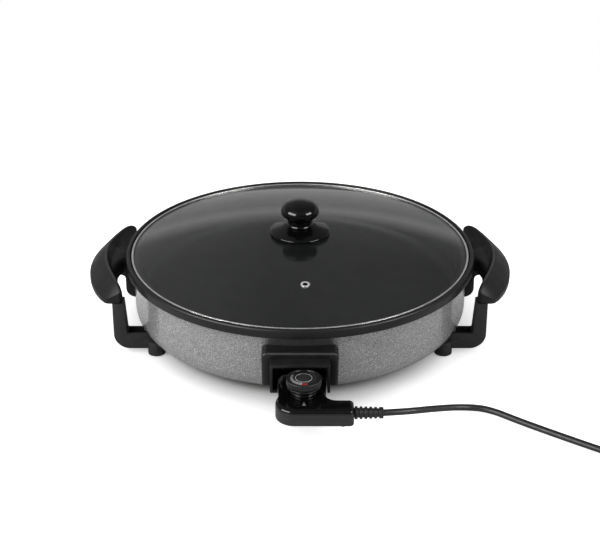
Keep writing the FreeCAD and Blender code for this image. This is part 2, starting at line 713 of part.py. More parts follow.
def heating_element():
    """Sheathed ring below the cooking floor; its two ends run forward to the terminals."""
    ring = doc.addObject("Part::Torus", "ring")
    bind(ring, "Radius1", element_circle)
    bind(ring, "Radius2", element_radius)
    half_gap = math.degrees(math.asin(pin_offset.value / element_circle.value))
    ring.Angle3 = 360 - 2 * half_gap
    ring.Placement = Placement(Vector(0, 0, element_z.value),
                               Rotation(Vector(0, 0, 1), -90 + half_gap))
    ring.setExpression("Placement.Base.z", element_z.text)
    ring.setExpression("Angle3", "360 - 2 * asin(%s / %s) / 1deg" % (pin_offset.text, element_circle.text))
    ring.setExpression("Placement.Rotation.Angle",
                       "(270 + asin(%s / %s) / 1deg) * 1deg" % (pin_offset.text, element_circle.text))
    bend_y = root(element_circle * element_circle - pin_offset * pin_offset)
    pieces = [ring]
    for side in (-1, 1):
        pieces.append(sphere(element_radius, pin_offset * side, -bend_y, element_z))
        pieces.append(cylinder(element_radius, insulator_back - bend_y, pin_offset * side, -bend_y,
                               element_z, TO_FRONT))
    finish(fuse(*pieces), "heating_element")


element_z = floor_under - element_radius
insulator_back = carrier_back + carrier_thick - insulator_length


def element_clips():
    """Four sheet clips that hold the ring up against the floor."""
    inner = element_radius + fit_gap
    reach = inner + clip_thick
    clips = []
    for turn in (45, 135, 225, 315):
        spin = Rotation(Vector(0, 0, 1), turn)
        plate = put(box(reach * 4, clip_width, clip_thick),
                    element_circle - reach * 2, -clip_width / 2, floor_under - clip_thick)
        saddle = cylinder(reach, clip_width, element_circle, clip_width / 2, element_z, TO_FRONT)
        bore = cylinder(inner, clip_width, element_circle, clip_width / 2, element_z, TO_FRONT)
        above = box(reach * 4, clip_width, reach, element_circle - reach * 2, -clip_width / 2, floor_under)
        clips.append(put(cut(fuse(plate, saddle), fuse(bore, above)), turn=spin))
    finish(group(clips), "element_clips")


def probe_guide():
    """Thin tube below the floor that the thermostat's probe slides into."""
    inner = probe_radius + probe_clearance
    tube = cut(cylinder(inner + guide_wall, guide_length, 0, 0, 0, TO_BACK),
               cylinder(inner, guide_length, 0, 0, 0, TO_BACK))
    finish(tube, "probe_guide", 0, -(carrier_back + carrier_thick), contact_z)


def pin_carrier():
    """Steel plate in front of the shell that carries the pins."""
    body = new_body("pin_carrier")
    sketch = new_sketch(body, "XZ_Plane", carrier_back)
    half = collar_width / 2 - collar_wall
    outline(sketch, [(-half, carrier_low), (half, carrier_low), (half, carrier_high),
                     (-half, carrier_high)])
    pad(body, sketch, carrier_thick)
    holes = new_sketch(body, "XZ_Plane", carrier_back)
    for side in (-1, 1):
        circle(holes, pin_offset * side, contact_z, insulator_radius - 1)
        circle(holes, socket_screw_x * side, socket_screw_z, post_bore)
    circle(holes, 0, contact_z, probe_radius + probe_clearance + guide_wall)
    pocket(body, holes, both_ways=True)
    finish(body, "pin_carrier")


def line_pins():
    """Two round pins that stand forward out of the element's ends."""
    length = insulator_length + pin_reach
    pins = []
    for side in (-1, 1):
        pins.append(cylinder(pin_radius, length, pin_offset * side, -insulator_back, contact_z, TO_FRONT))
    finish(group(pins), "line_pins")


def pin_insulators():
    """Ceramic bushes between the pins and the carrier."""
    bushes = []
    for side in (-1, 1):
        wide = cylinder(insulator_radius, insulator_length - carrier_thick, pin_offset * side,
                        -insulator_back, contact_z, TO_FRONT)
        nose = cylinder(insulator_radius - 1, insulator_length + 2, pin_offset * side,
                        -insulator_back, contact_z, TO_FRONT)
        bore = cylinder(pin_radius, insulator_length + 2, pin_offset * side, -insulator_back,
                        contact_z, TO_FRONT)
        bushes.append(cut(fuse(wide, nose), bore))
    finish(group(bushes), "pin_insulators")


def earth_pin():
    """Flat-headed earth pin riveted to the carrier above the probe."""
    front = carrier_back + carrier_thick
    pin = fuse(cylinder(pin_radius + 1.5, 1.2, 0, -front, contact_z + earth_rise, TO_FRONT),
               cylinder(pin_radius, pin_reach - 4, 0, -front, contact_z + earth_rise, TO_FRONT))
    finish(pin, "earth_pin")


def socket_housing():
    """Outer black box over the terminals; its back follows the shell."""
    body = new_body("socket_housing")
    half = housing_width / 2
    sketch = new_sketch(body, "XZ_Plane", shell_radius - 12)
    outline(sketch, [
        (-half + 0.8, housing_low, housing_round),
        (half - 0.8, housing_low, housing_round),
        (half, housing_high, housing_round + 3),
        (-half, housing_high, housing_round + 3),
    ])
    pad(body, sketch, housing_front - shell_radius + 12)
    doc.recompute()
    front_edges = outer_edges(body, lambda e: abs(middle(e).y + housing_front.value) < 0.01)
    soften(body, front_edges, housing_round - 0.5)
    inner = new_sketch(body, "XZ_Plane", shell_radius - 12)
    hollow = collar_width / 2
    outline(inner, [
        (-hollow, housing_low - 5),
        (hollow, housing_low - 5),
        (hollow, collar_high, 1.5),
        (-hollow, collar_high, 1.5),
    ])
    pocket(body, inner, backwards=True)
    clear = fit_gap / 2
    revolve(body, [
        (0, 0), (shell_radius + clear, 0), (shell_radius + clear, rim_top), (0, rim_top),
    ], groove=True)
    finish(body, "socket_housing")


def socket_collar():
    """Inverted U around the plug's way in, with a lip at its foot; its back holds the pin carrier."""
    body = new_body("socket_collar")
    half = collar_width / 2
    sketch = new_sketch(body, "XZ_Plane", carrier_back - fit_gap / 2)
    outline(sketch, [
        (-half, collar_low, 1),
        (-half + collar_wall, collar_low, 1),
        (-half + collar_wall, collar_high - collar_wall, 1.5),
        (half - collar_wall, collar_high - collar_wall, 1.5),
        (half - collar_wall, collar_low, 1),
        (half, collar_low, 1),
        (half, collar_high, 1.5),
        (-half, collar_high, 1.5),
    ])
    pad(body, sketch, collar_front - carrier_back + fit_gap / 2)
    lip = new_sketch(body, "XZ_Plane", lip_back)
    outline(lip, [
        (-half, collar_low, 1),
        (stem_left - lip_gap, collar_low, 0.5),
        (stem_left - lip_gap, collar_low + collar_wall, 0.5),
        (-half, collar_low + collar_wall),
    ])
    pad(body, lip, collar_front - lip_back)
    finish(body, "socket_collar")


def socket_screws():
    """Two small screws, driven from the front through the carrier's upper corners."""
    screws = []
    for side in (-1, 1):
        screws.append(screw(6, socket_screw_x * side, -(carrier_back + carrier_thick), socket_screw_z,
                            TO_BACK, head_radius - 0.8, post_bore))
    finish(group(screws), "socket_screws")


def middle(edge):
    return edge.valueAt((edge.FirstParameter + edge.LastParameter) / 2)


def outer_edges(body, test):
    """Names of the body's edges that pass a test."""
    return ["Edge%d" % (i + 1) for i, edge in enumerate(body.Shape.Edges) if test(edge)]


def soften(body, names, radius):
    """Round the named edges."""
    base = body.Tip
    feature = body.newObject("PartDesign::Fillet", body.Name + "_rounding")
    feature.Base = (base, names)
    bind(feature, "Radius", radius)
    doc.recompute()
    return feature


stud_x = leg_outer - stud_inset
stud_y = leg_front - leg_depth / 2


def leg(label, x_side, y_side):
    """A leg with its channelled arm and the round foot column below the shell."""
    body = new_body(label)
    near = leg_front - leg_depth
    sketch = new_sketch(body, "XZ_Plane", near if y_side < 0 else -leg_front)
    arm_top = arm_low + arm_height
    outline(sketch, [
        (leg_outer * x_side, grip_low),
        (leg_outer * x_side, arm_low, leg_corner),
        (foot_x * x_side, arm_low),
        (foot_x * x_side, arm_top),
        ((leg_outer - leg_width_low) * x_side, arm_top, 1.5),
        ((leg_outer - leg_width_top) * x_side, grip_low),
    ])
    pad(body, sketch, leg_depth)
    column = new_sketch(body, "XY_Plane", pad_proud)
    circle(column, foot_x * x_side, foot_y * y_side, foot_radius)
    pad(body, column, foot_top - pad_proud)
    channel = new_sketch(body, "XY_Plane", arm_top)
    far_y = (leg_front - arm_wall) * y_side
    near_y = (near + arm_wall) * y_side
    end_x = (foot_x + foot_radius) * x_side
    root_x = (leg_outer - leg_width_low) * x_side
    outline(channel, [(root_x, near_y), (end_x, near_y), (end_x, far_y), (root_x, far_y)])
    pocket(body, channel, arm_height - arm_wall)
    clear = fit_gap / 2
    revolve(body, [
        (0, shell_bottom - clear),
        (shell_radius + clear, shell_bottom - clear, shell_corner + clear),
        (shell_radius + clear, rim_top),
        (0, rim_top),
    ], groove=True)
    bore = new_sketch(body, "XY_Plane")
    circle(bore, foot_x * x_side, foot_y * y_side, screw_radius + hole_clearance)
    pocket(body, bore, backwards=True)
    counterbore = new_sketch(body, "XY_Plane")
    circle(counterbore, foot_x * x_side, foot_y * y_side, pad_radius + fit_gap / 3)
    pocket(body, counterbore, pad_height + head_height, backwards=True)
    stud_hole = new_sketch(body, "XY_Plane", grip_low)
    circle(stud_hole, stud_x * x_side, stud_y * y_side, screw_radius)
    pocket(body, stud_hole, stud_half)
    finish(body, label)


def foot_pad(label, x_side, y_side):
    """Rubber pad in the foot column's recess."""
    pad_shape = cylinder(pad_radius, pad_height)
    finish(pad_shape, label, foot_x * x_side, foot_y * y_side)


def foot_screws():
    """Long screws up through the foot columns into the pan's bosses."""
    seat = pad_height + head_height
    length = floor_under - seat - 1
    screws = [screw(length, foot_x * sx, foot_y * sy, seat) for sx in (-1, 1) for sy in (-1, 1)]
    finish(group(screws), "foot_screws")


# How a grip's section changes from its middle to its end: the share of its length, how far its
# outer edge, ridge and inner edge draw in towards the pan, and how far the ridge drops.
GRIP_SECTIONS = [
    (0.0, 0.0, 0.0, 0.0, 0.0),
    (0.33, 2.8, 3.6, 0.8, 0.2),
    (0.62, 9.8, 12.2, 4.6, 0.8),
    (0.84, 18.4, 20.6, 9.8, 2.6),
    (0.93, 23.6, 24.8, 12.4, 6.0),
    (1.0, 29.0, 27.6, 14.6, 14.0),
]


def grip_section(body, x_side, place, outer, ridge, inner, drop):
    """One cross-section of a grip: edge band, outer slope, rounded ridge, inner slope."""
    sketch = new_sketch(body, "XZ_Plane", place)
    outline(sketch, [
        ((grip_outer - outer) * x_side, grip_low),
        ((grip_outer - outer) * x_side, grip_low + grip_band, 2),
        ((grip_ridge - ridge) * x_side, grip_high - drop, 3),
        ((grip_inner - inner) * x_side, grip_low + 1.5),
        ((grip_inner - inner) * x_side, grip_low),
    ])
    return sketch


trim_beside = size("trim_beside", 30, "how far the end trim reaches past a grip sideways")
trim_slope = size("trim_slope", 37, "length of a grip's trimmed end")
trim_height = size("trim_height", 60, "height of the end trim")


def grip(label, x_side):
    """Crescent grip, lofted from end to end, with the stay that reaches down to the shell."""
    body = new_body(label)
    places = [(-share, rest) for share, *rest in GRIP_SECTIONS[:0:-1]]
    places += [(share, rest) for share, *rest in GRIP_SECTIONS]
    sketches = [grip_section(body, x_side, grip_length * share, *rest) for share, rest in places]
    loft = body.newObject("PartDesign::AdditiveLoft", label + "_loft")
    loft.Profile = sketches[0]
    loft.Sections = sketches[1:]
    loft.Ruled = False
    loft.Closed = False
    doc.recompute()
    trim = new_sketch(body, "XY_Plane", grip_low - 5)
    wide = grip_outer + 20
    far = grip_length + 20
    outline(trim, [((shell_radius - trim_beside) * x_side, -far), (wide * x_side, -far),
                   (wide * x_side, far), ((shell_radius - trim_beside) * x_side, far)])
    end_corner = grip_outer - GRIP_SECTIONS[-1][1] + 0.5
    inner_corner = grip_inner - GRIP_SECTIONS[-1][3] + 0.6
    outline(trim, [
        ((shell_radius - 10) * x_side, -(grip_length - 22)),
        (inner_corner * x_side, -(grip_length - 12)),
        (inner_corner * x_side, -grip_length, grip_end_inner),
        (end_corner * x_side, -grip_length, grip_end_outer),
        ((end_corner + trim_beside) * x_side, -(grip_length - trim_slope)),
        ((end_corner + trim_beside) * x_side, grip_length - trim_slope),
        (end_corner * x_side, grip_length, grip_end_outer),
        (inner_corner * x_side, grip_length, grip_end_inner),
        (inner_corner * x_side, grip_length - 12),
        ((shell_radius - 10) * x_side, grip_length - 22),
    ])
    pocket(body, trim, trim_height, backwards=True)
    stay = new_sketch(body)
    outline(stay, [
        ((shell_radius - 6) * x_side, stay_low),
        (stay_outer * x_side, stay_low, stay_corner),
        (stay_outer * x_side, grip_low - 1, 5),
        ((grip_inner + 8) * x_side, grip_low + 1),
        ((grip_inner + 8) * x_side, grip_low + 13),
        ((shell_radius - 6) * x_side, grip_low + 13),
    ])
    pad(body, stay, stay_width, both_ways=True)
    clear = fit_gap / 2
    revolve(body, [
        (0, 0), (shell_radius + clear, 0), (shell_radius + clear, rim_top + 5), (0, rim_top + 5),
    ], groove=True)
    holes = new_sketch(body, "XY_Plane", grip_low)
    for y_side in (-1, 1):
        circle(holes, stud_x * x_side, stud_y * y_side, screw_radius)
    pocket(body, holes, stud_half, backwards=True)
    screw_hole = new_sketch(body, "YZ_Plane")
    circle(screw_hole, 0, stay_screw_z, screw_radius + hole_clearance)
    pocket(body, screw_hole, rim_radius + 20, backwards=x_side > 0)
    recess = new_sketch(body, "YZ_Plane", (stay_outer - head_height) * x_side)
    circle(recess, 0, stay_screw_z, head_radius + hole_clearance)
    pocket(body, recess, head_height * 2, backwards=x_side > 0)
    finish(body, label)


def grip_studs():
    """Threaded studs that join the tops of the legs to the grips."""
    studs = []
    for x_side in (-1, 1):
        for y_side in (-1, 1):
            studs.append(cylinder(screw_radius, stud_half * 2, stud_x * x_side, stud_y * y_side,
                                  grip_low - stud_half))
    finish(group(studs), "grip_studs")


def stay_screws():
    """One screw through each stay into the shell."""
    screws = []
    for side, turn in ((-1, Rotation(Vector(0, 1, 0), 90)), (1, Rotation(Vector(0, 1, 0), -90))):
        screws.append(screw(stay_outer - head_height - shell_inside, (stay_outer - head_height) * side, 0,
                            stay_screw_z, turn))
    finish(group(screws), "stay_screws")


# The lid's glass is a part of a sphere that passes through its edge and its top.
dome_radius = (glass_edge * glass_edge + dome_rise * dome_rise) / (dome_rise * 2)


def glass_blank():
    shell = cut(sphere(dome_radius, z=dome_top - dome_radius),
                sphere(dome_radius - glass_thick, z=dome_top - dome_radius))
    return common(shell, cylinder(glass_edge, dome_rise * 3, z=glass_edge_top - dome_rise))


def vent_tool(radius, length, start):
    """A cylinder along the eyelet's axis, square to the dome."""
    tilt = Rotation(Vector(1, 0, 0), math.degrees(math.asin(vent_y.value / dome_radius.value)))
    lean = vent_y / dome_radius
    rise = root(1 - lean * lean)
    tool = cylinder(radius, length, vent_x, -vent_y - lean * start, vent_z + rise * start, tilt)
    tool.setExpression("Placement.Rotation.Angle", "asin(%s / %s)" % (vent_y.text, dome_radius.text))
    return tool


vent_z = dome_top - dome_radius + root(dome_radius * dome_radius - vent_y * vent_y)


def lid_glass():
    tools = fuse(cylinder(knob_hole, dome_rise * 2, z=dome_top - dome_rise),
                 vent_tool(vent_radius, glass_thick * 4, -glass_thick * 2))
    finish(cut(glass_blank(), tools), "lid_glass")


def lid_band():
    """Steel band rolled around the edge of the glass."""
    body = new_body("lid_band_ring")
    low = seat_z + seat_play
    inside = band_outside - band_width
    revolve(body, [
        (inside, low, 0.6),
        (band_outside, low, 0.8),
        (band_outside, low + band_height, 1.6),
        (inside, low + band_height, 0.8),
    ])
    finish(cut(body, glass_blank()), "lid_band")


def vent_eyelet():
    """Flanged steel eyelet through the glass."""
    thick = vent_flange_thick
    parts = fuse(vent_tool(vent_radius, glass_thick + thick * 2, -glass_thick - thick),
                 vent_tool(vent_flange, thick, 0.12),
                 vent_tool(vent_flange - 1, thick, -glass_thick - thick - 0.12))
    finish(cut(parts, vent_tool(vent_bore, glass_thick * 4, -glass_thick * 2)), "vent_eyelet")


def knob_flange():
    """Low dish below the knob."""
    body = new_body("knob_flange")
    revolve(body, [
        (knob_hole, flange_low),
        (flange_radius - 1.5, flange_low, 0.8),
        (flange_radius, flange_low + flange_edge, 1),
        (neck_radius + 8, neck_low - 2.2, 12),
        (neck_radius + 3, neck_low),
        (knob_hole, neck_low),
    ])
    finish(body, "knob_flange")


def lid_knob():
    """Mushroom knob; the screw enters it from below."""
    body = new_body("lid_knob")
    revolve(body, [
        (screw_radius, neck_low),
        (neck_radius + 1.5, neck_low, 1),
        (neck_radius, knob_waist - 11, 4),
        (knob_radius, knob_waist - 2.9, 5),
        (knob_radius, knob_top - 3.5, 11),
        (knob_radius - 14.8, knob_top - 0.35, 25),
        (0, knob_top),
        (0, knob_top - 6),
        (screw_radius, knob_top - 6),
    ])
    finish(body, "lid_knob")


# The washer's edge touches the hollow underside of the glass.
washer_low = dome_top - glass_thick - washer_thick - washer_radius * washer_radius / (dome_radius * 1.99)


def knob_screw():
    under = washer_low
    finish(screw(knob_top - 7 - under, 0, 0, 0), "knob_screw", 0, 0, under)


def knob_seal():
    """Silicone seal between glass and flange, with a sleeve through the glass."""
    seal = cylinder(seal_radius, flange_low - dome_top + 0.4, z=dome_top - 0.4)
    sleeve = cylinder(knob_hole, glass_thick, z=dome_top - glass_thick)
    dome = sphere(dome_radius, z=dome_top - dome_radius)
    bore = cylinder(screw_radius, dome_rise, z=dome_top - dome_rise / 2)
    finish(cut(fuse(cut(seal, dome), sleeve), bore), "knob_seal")


def glass_washer():
    """Steel washer between the screw's head and the glass."""
    disc = cut(cylinder(washer_radius, washer_thick), cylinder(screw_radius, washer_thick))
    finish(disc, "glass_washer", 0, 0, washer_low)


# Outline of the thermostat's case, seen from above
stem_left = stem_shift - stem_width / 2
stem_right = stem_shift + stem_width / 2
case_left = stem_left - case_flare


def case_outline(inset=0):
    inset = as_size(inset)
    return [
        (stem_left + inset, -case_back - inset),
        (stem_left + inset, -(case_back + flare_start) - inset, 10),
        (case_left + inset, -(case_back + flare_end), 10),
        (case_left + inset, -case_front + inset, case_corner - inset),
        (arm_end - inset, -case_front + inset, arm_corner - inset),
        (arm_end - inset, -arm_back - inset, arm_corner - inset),
        (stem_right - inset, -arm_back - inset, arm_fillet + inset),
        (stem_right - inset, -case_back - inset),
    ]


def case_ring(label, low, high, floor):
    """A slice of the case with a hollow; floor is how thick its closed bottom is."""
    body = new_body(label)
    sketch = new_sketch(body, "XY_Plane", low)
    outline(sketch, case_outline())
    pad(body, sketch, high - low)
    hollow = new_sketch(body, "XY_Plane", low + floor)
    outline(hollow, case_outline(case_wall))
    pocket(body, hollow, high - low - floor, backwards=True)
    return body


def case_openings(body):
    """Ways for the strain relief through the arm's end and for the probe through the back."""
    hole = new_sketch(body, "YZ_Plane", arm_end - case_wall * 2)
    circle(hole, -relief_y, relief_z, relief_core)
    pocket(body, hole, case_wall * 3, backwards=True)
    way_in = new_sketch(body, "XZ_Plane", case_back - 1)
    circle(way_in, 0, contact_z, probe_radius)
    pocket(body, way_in, case_wall * 3, backwards=True)


def thermostat_lower_case():
    body = case_ring("thermostat_lower_case", case_low, case_seam, case_wall)
    case_openings(body)
    screw_holes = new_sketch(body, "XY_Plane", case_low)
    for x, y in CASE_SCREWS:
        circle(screw_holes, x, -y, post_bore + hole_clearance)
    pocket(body, screw_holes, case_wall, backwards=True)
    finish(body, "thermostat_lower_case")


def thermostat_upper_case():
    body = case_ring("thermostat_upper_case", case_seam, case_cover, as_size(0))
    case_openings(body)
    finish(body, "thermostat_upper_case")


# Places of the three case screws: sideways, and distance in front of the pan's axis
CASE_SCREWS = [
    (case_left + 9, case_front - 14),
    (arm_end - 12, case_front - 6.2),
    (stem_right - 6, case_back + 6.2),
]


def thermostat_cover():
    """Glossy top of the case, with its rounded upper edge and the hole for the spindle."""
    body = new_body("thermostat_cover")
    sketch = new_sketch(body, "XY_Plane", case_cover)
    outline(sketch, case_outline())
    pad(body, sketch, case_high - case_cover)
    doc.recompute()
    names = outer_edges(body, lambda e: abs(middle(e).z - case_high.value) < 0.01
                        and middle(e).y < -case_back.value - 0.01)
    soften(body, names, case_round)
    hollow = new_sketch(body, "XY_Plane", case_cover)
    outline(hollow, case_outline(case_wall + 1))
    pocket(body, hollow, case_high - case_cover - cover_plate, backwards=True)
    hole = new_sketch(body, "XY_Plane", case_cover)
    circle(hole, dial_x, -dial_y, spindle_radius + spindle_clearance)
    pocket(body, hole, backwards=True)
    posts = new_sketch(body, "XY_Plane", case_low + case_wall)
    for x, y in CASE_SCREWS:
        circle(posts, x, -y, post_radius)
    pad(body, posts, case_high - cover_plate / 2 - case_low - case_wall)
    bores = new_sketch(body, "XY_Plane", case_low + case_wall)
    for x, y in CASE_SCREWS:
        circle(bores, x, -y, post_bore)
    pocket(body, bores, 11, backwards=True)
    finish(body, "thermostat_cover")


def connector_head():
    """Taller block at the back of the thermostat that plugs into the socket."""
    body = new_body("connector_head")
    sketch = new_sketch(body, "XZ_Plane", head_back)
    outline(sketch, [
        (stem_left, case_low, 1),
        (stem_right, case_low, 1),
        (stem_right, head_high, head_round),
        (stem_left, head_high, head_round),
    ])
    pad(body, sketch, case_back - head_back)
    bores = new_sketch(body, "XZ_Plane", head_back)
    for side in (-1, 1):
        circle(bores, pin_offset * side, contact_z, contact_bore + contact_wall)
    circle(bores, 0, contact_z, probe_radius)
    circle(bores, 0, contact_z + earth_rise, contact_bore + contact_wall)
    pocket(body, bores, backwards=True)
    finish(body, "connector_head")


def contact_tubes():
    """Spring tubes in the head that grip the line pins."""
    tubes = []
    for side in (-1, 1):
        outer = cylinder(contact_bore + contact_wall, contact_length, pin_offset * side, -head_back,
                         contact_z, TO_FRONT)
        bore = cylinder(contact_bore, contact_length, pin_offset * side, -head_back, contact_z, TO_FRONT)
        tubes.append(cut(outer, bore))
    finish(group(tubes), "contact_tubes")


def earth_tube():
    """Spring tube in the head that grips the earth pin."""
    height = contact_z + earth_rise
    outer = cylinder(contact_bore + contact_wall, contact_length, 0, -head_back, height, TO_FRONT)
    bore = cylinder(contact_bore, contact_length, 0, -head_back, height, TO_FRONT)
    finish(cut(outer, bore), "earth_tube")


def probe():
    """Stainless probe with a round tip; it runs back through the head into the case."""
    inside = case_back - head_back + 8
    rod = fuse(cylinder(probe_radius, probe_length + inside), sphere(probe_radius, z=probe_length + inside))
    finish(rod, "probe", 0, -(head_back + inside), contact_z, TO_BACK)


block_low = case_low + case_wall
block_back = case_back + 8
block_length = relief_y + 6 - block_back


def switch_block():
    """Ceramic block behind the probe that carries the switch."""
    finish(box(22, block_length, block_height), "switch_block", -11, -(block_back + block_length),
           block_low)


def bimetal_strip():
    """Bimetal strip that lies on the switch block beside the spindle."""
    finish(box(9, 30, 0.8), "bimetal_strip", dial_x - 14, -(block_back + 32), block_low + block_height)


def contact_leaf():
    """Spring leaf with its contact button below the spindle."""
    leaf = fuse(box(5, 26, 0.5), cylinder(1.8, 1, 2.5, 13, 0.5))
    finish(leaf, "contact_leaf", dial_x - 2.5, -dial_y - 13, block_low + block_height)


def lead_wires():
    """Three insulated cores between strain relief and switch block."""
    start = arm_end - case_wall - 3
    wires = [cylinder(1.1, start - 11, 11, -relief_y + 2.6 * step, block_low + 4, TO_RIGHT)
             for step in (-1, 0, 1)]
    finish(group(wires), "lead_wires")


def case_screws():
    """Three screws that close the case from below."""
    screws = [screw(12, x, -y, case_low, UPRIGHT, head_radius - 0.9, post_bore) for x, y in CASE_SCREWS]
    finish(group(screws), "case_screws")


def dial_bezel():
    """Fixed ring on the cover that the dial turns above."""
    ring = cut(cylinder(bezel_radius, bezel_height), cylinder(spindle_radius + spindle_clearance, bezel_height))
    finish(ring, "dial_bezel", dial_x, -dial_y, case_high)


def dial_knob():
    """Dial with its wide ribbed head and narrower collar."""
    body = new_body("dial_knob")
    low = case_high + bezel_height + dial_gap
    revolve(body, [
        (spindle_radius, low),
        (skirt_radius, low, 0.8),
        (skirt_radius, dial_top - dial_rim),
        (dial_radius - 0.4, dial_top - dial_rim, 0.8),
        (dial_radius, dial_top, 1.3),
        (insert_radius, dial_top),
        (insert_radius, dial_top - insert_depth),
        (spindle_radius, dial_top - insert_depth),
    ])
    finish(body, "dial_knob", dial_x, -dial_y)


def dial_insert():
    """Round face insert of the dial."""
    body = new_body("dial_insert")
    revolve(body, [
        (0, dial_top - insert_depth),
        (insert_radius, dial_top - insert_depth),
        (insert_radius, dial_top + insert_proud, 0.3),
        (0, dial_top + insert_proud),
    ])
    finish(body, "dial_insert", dial_x, -dial_y)


def dial_spindle():
    """Spindle from the dial down to the bimetal strip."""
    low = block_low + block_height + 1.6
    finish(cylinder(spindle_radius, dial_top - insert_depth - low), "dial_spindle", dial_x, -dial_y, low)


def strain_relief():
    """Ribbed rubber sleeve; its own axis runs along the cord."""
    body = new_body("strain_relief")
    ribs = 6
    pitch = relief_length / ribs
    corners = [(0, -case_wall - 3), (relief_flange, -case_wall - 3), (relief_flange, -case_wall),
               (relief_core, -case_wall)]
    for i in range(ribs):
        reach = relief_rib + (relief_rib_end - relief_rib) * (i / (ribs - 1))
        start = pitch * i + 0.4
        end = start + pitch * 0.55 if i < ribs - 1 else relief_length
        corners += [(relief_core, start), (reach, start), (reach, end), (relief_core, end)]
    corners[-1] = (0, relief_length)
    revolve(body, corners)
    finish(body, "strain_relief", arm_end, -relief_y, relief_z, TO_RIGHT)


# The cord's route from the strain relief to its coil, and from the coil to the plug, about the
# pan's axis. The points were chosen by hand, after the photograph as far as it shows the cord.
CORD_ROUTE = [
    (90, -275, 28.5),
    (115, -271.5, 27.8),
    (144.9, -248.5, 17.2),
    (179.5, -224.7, 5.2),
    (209.4, -225.8, 3.75),
    (243, -253.8, 3.75),
    (291, -289, 3.75),
    (331, -315.2, 3.75),
    (369.3, -335.6, 3.75),
]
CORD_TAIL = [
    (426.7, -318, 10.25),
    (437.5, -297.5, 11.2),
    (451.5, -262, 16),
    (456.5, -232.5, 18.5),
]
COIL_CENTRE = (389.2, -298.1)


def round_path(points, label):
    """Straight runs joined by tangent arcs, each as large as its two runs allow."""
    share = 0.45
    spots = [Vector(*p) for p in points]
    edges = []
    last = spots[0]
    for before, corner, after in zip(spots, spots[1:], spots[2:]):
        into = before - corner
        out = after - corner
        turn = math.pi - into.getAngle(out)
        reach = share * min(into.Length, out.Length)
        radius = reach / math.tan(turn / 2)
        print("%s: turn %.0f degrees, radius %.0f mm" % (label, math.degrees(turn), radius))
        first = corner + into.normalize() * reach
        second = corner + out.normalize() * reach
        centre_way = (into + out).normalize()
        tip = corner + centre_way * (radius / math.cos(turn / 2) - radius)
        edges.append(Part.LineSegment(last, first).toShape())
        edges.append(Part.Arc(first, tip, second).toShape())
        last = second
    edges.append(Part.LineSegment(last, spots[-1]).toShape())
    return Part.Wire(edges)


def cord_piece(label, points):
    """Round tube along a path of runs and arcs."""
    path = round_path(points, label)
    first = Vector(*points[0])
    way = (Vector(*points[1]) - first).normalize()
    ring = Part.Wire([Part.Circle(first, way, cord_radius.value).toShape()])
    shape = path.makePipeShell([ring], True, True)
    if shape.Volume < 0:
        shape.reverse()
    expected = math.pi * cord_radius.value ** 2 * path.Length
    print("%s: length %.0f mm, volume %.3f of section times length" % (label, path.Length,
                                                                      shape.Volume / expected))
    thing = doc.addObject("Part::Feature", label)
    thing.Shape = shape
    finish(thing, label)


def cord_coil():
    """Outer shape of the coil that holds the cord's unseen length."""
    body = new_body("cord_coil")
    inner = coil_radius - cord_radius * 2
    outer = coil_radius + cord_radius * 2
    revolve(body, [
        (inner, 0, 3), (outer, 0, 3), (outer, coil_height, 3), (inner, coil_height, 3),
    ])
    finish(body, "cord_coil", COIL_CENTRE[0], COIL_CENTRE[1])


def plug_turn():
    """The plug lies flat and points on along the cord's last run."""
    before = Vector(*CORD_TAIL[-2])
    end = Vector(*CORD_TAIL[-1])
    heading = math.degrees(math.atan2(end.y - before.y, end.x - before.x))
    return Rotation(Vector(0, 0, 1), heading).multiply(TO_RIGHT)


def plug_body_piece():
    """Round mains plug; its own axis runs from the cord to the pins."""
    body = new_body("plug_body")
    revolve(body, [
        (0, 0),
        (5, 0, 0.8),
        (6.5, plug_boot, 1.5),
        (plug_radius - 4, plug_boot + 5, 4),
        (plug_radius, plug_boot + plug_body - 12, 5),
        (plug_radius, plug_boot + plug_body, 1.5),
        (0, plug_boot + plug_body),
    ])
    finish(body, "plug_body", CORD_TAIL[-1][0], CORD_TAIL[-1][1], CORD_TAIL[-1][2], plug_turn())


def plug_pins():
    """Two round pins on the plug's face."""
    pins = []
    for side in (-1, 1):
        pins.append(fuse(cylinder(plug_pin_radius, plug_pin_length, 0, plug_pin_pitch / 2 * side,
                                  plug_boot + plug_body),
                         sphere(plug_pin_radius, 0, plug_pin_pitch / 2 * side,
                                plug_boot + plug_body + plug_pin_length - 0.6)))
    finish(group(pins), "plug_pins", CORD_TAIL[-1][0], CORD_TAIL[-1][1], CORD_TAIL[-1][2], plug_turn())


inner_pan()
outer_shell()
bottom_cover()
cover_screws()
heating_element()
element_clips()
probe_guide()
pin_carrier()
line_pins()
pin_insulators()
earth_pin()
socket_housing()
socket_collar()
socket_screws()
for side_name, x_side in (("left", -1), ("right", 1)):
    for end_name, y_side in (("front", -1), ("rear", 1)):
        leg("leg_%s_%s" % (end_name, side_name), x_side, y_side)
        foot_pad("foot_pad_%s_%s" % (end_name, side_name), x_side, y_side)
    grip("grip_" + side_name, x_side)
foot_screws()
grip_studs()
stay_screws()
lid_glass()
lid_band()
vent_eyelet()
knob_flange()
lid_knob()
knob_screw()
knob_seal()
glass_washer()
thermostat_lower_case()
thermostat_upper_case()
thermostat_cover()
connector_head()
contact_tubes()
earth_tube()
probe()
switch_block()
bimetal_strip()
contact_leaf()
lead_wires()
case_screws()
dial_bezel()
dial_knob()
dial_insert()
dial_spindle()
strain_relief()
cord_piece("cord_tube", CORD_ROUTE)
cord_coil()
cord_piece("cord_tail", CORD_TAIL)
plug_body_piece()
plug_pins()

doc.recompute()

for thing in doc.Objects:
    if "Invalid" in thing.State or "Error" in thing.State:
        raise ValueError("%s (%s) failed: %s" % (thing.Name, thing.Label, thing.State))

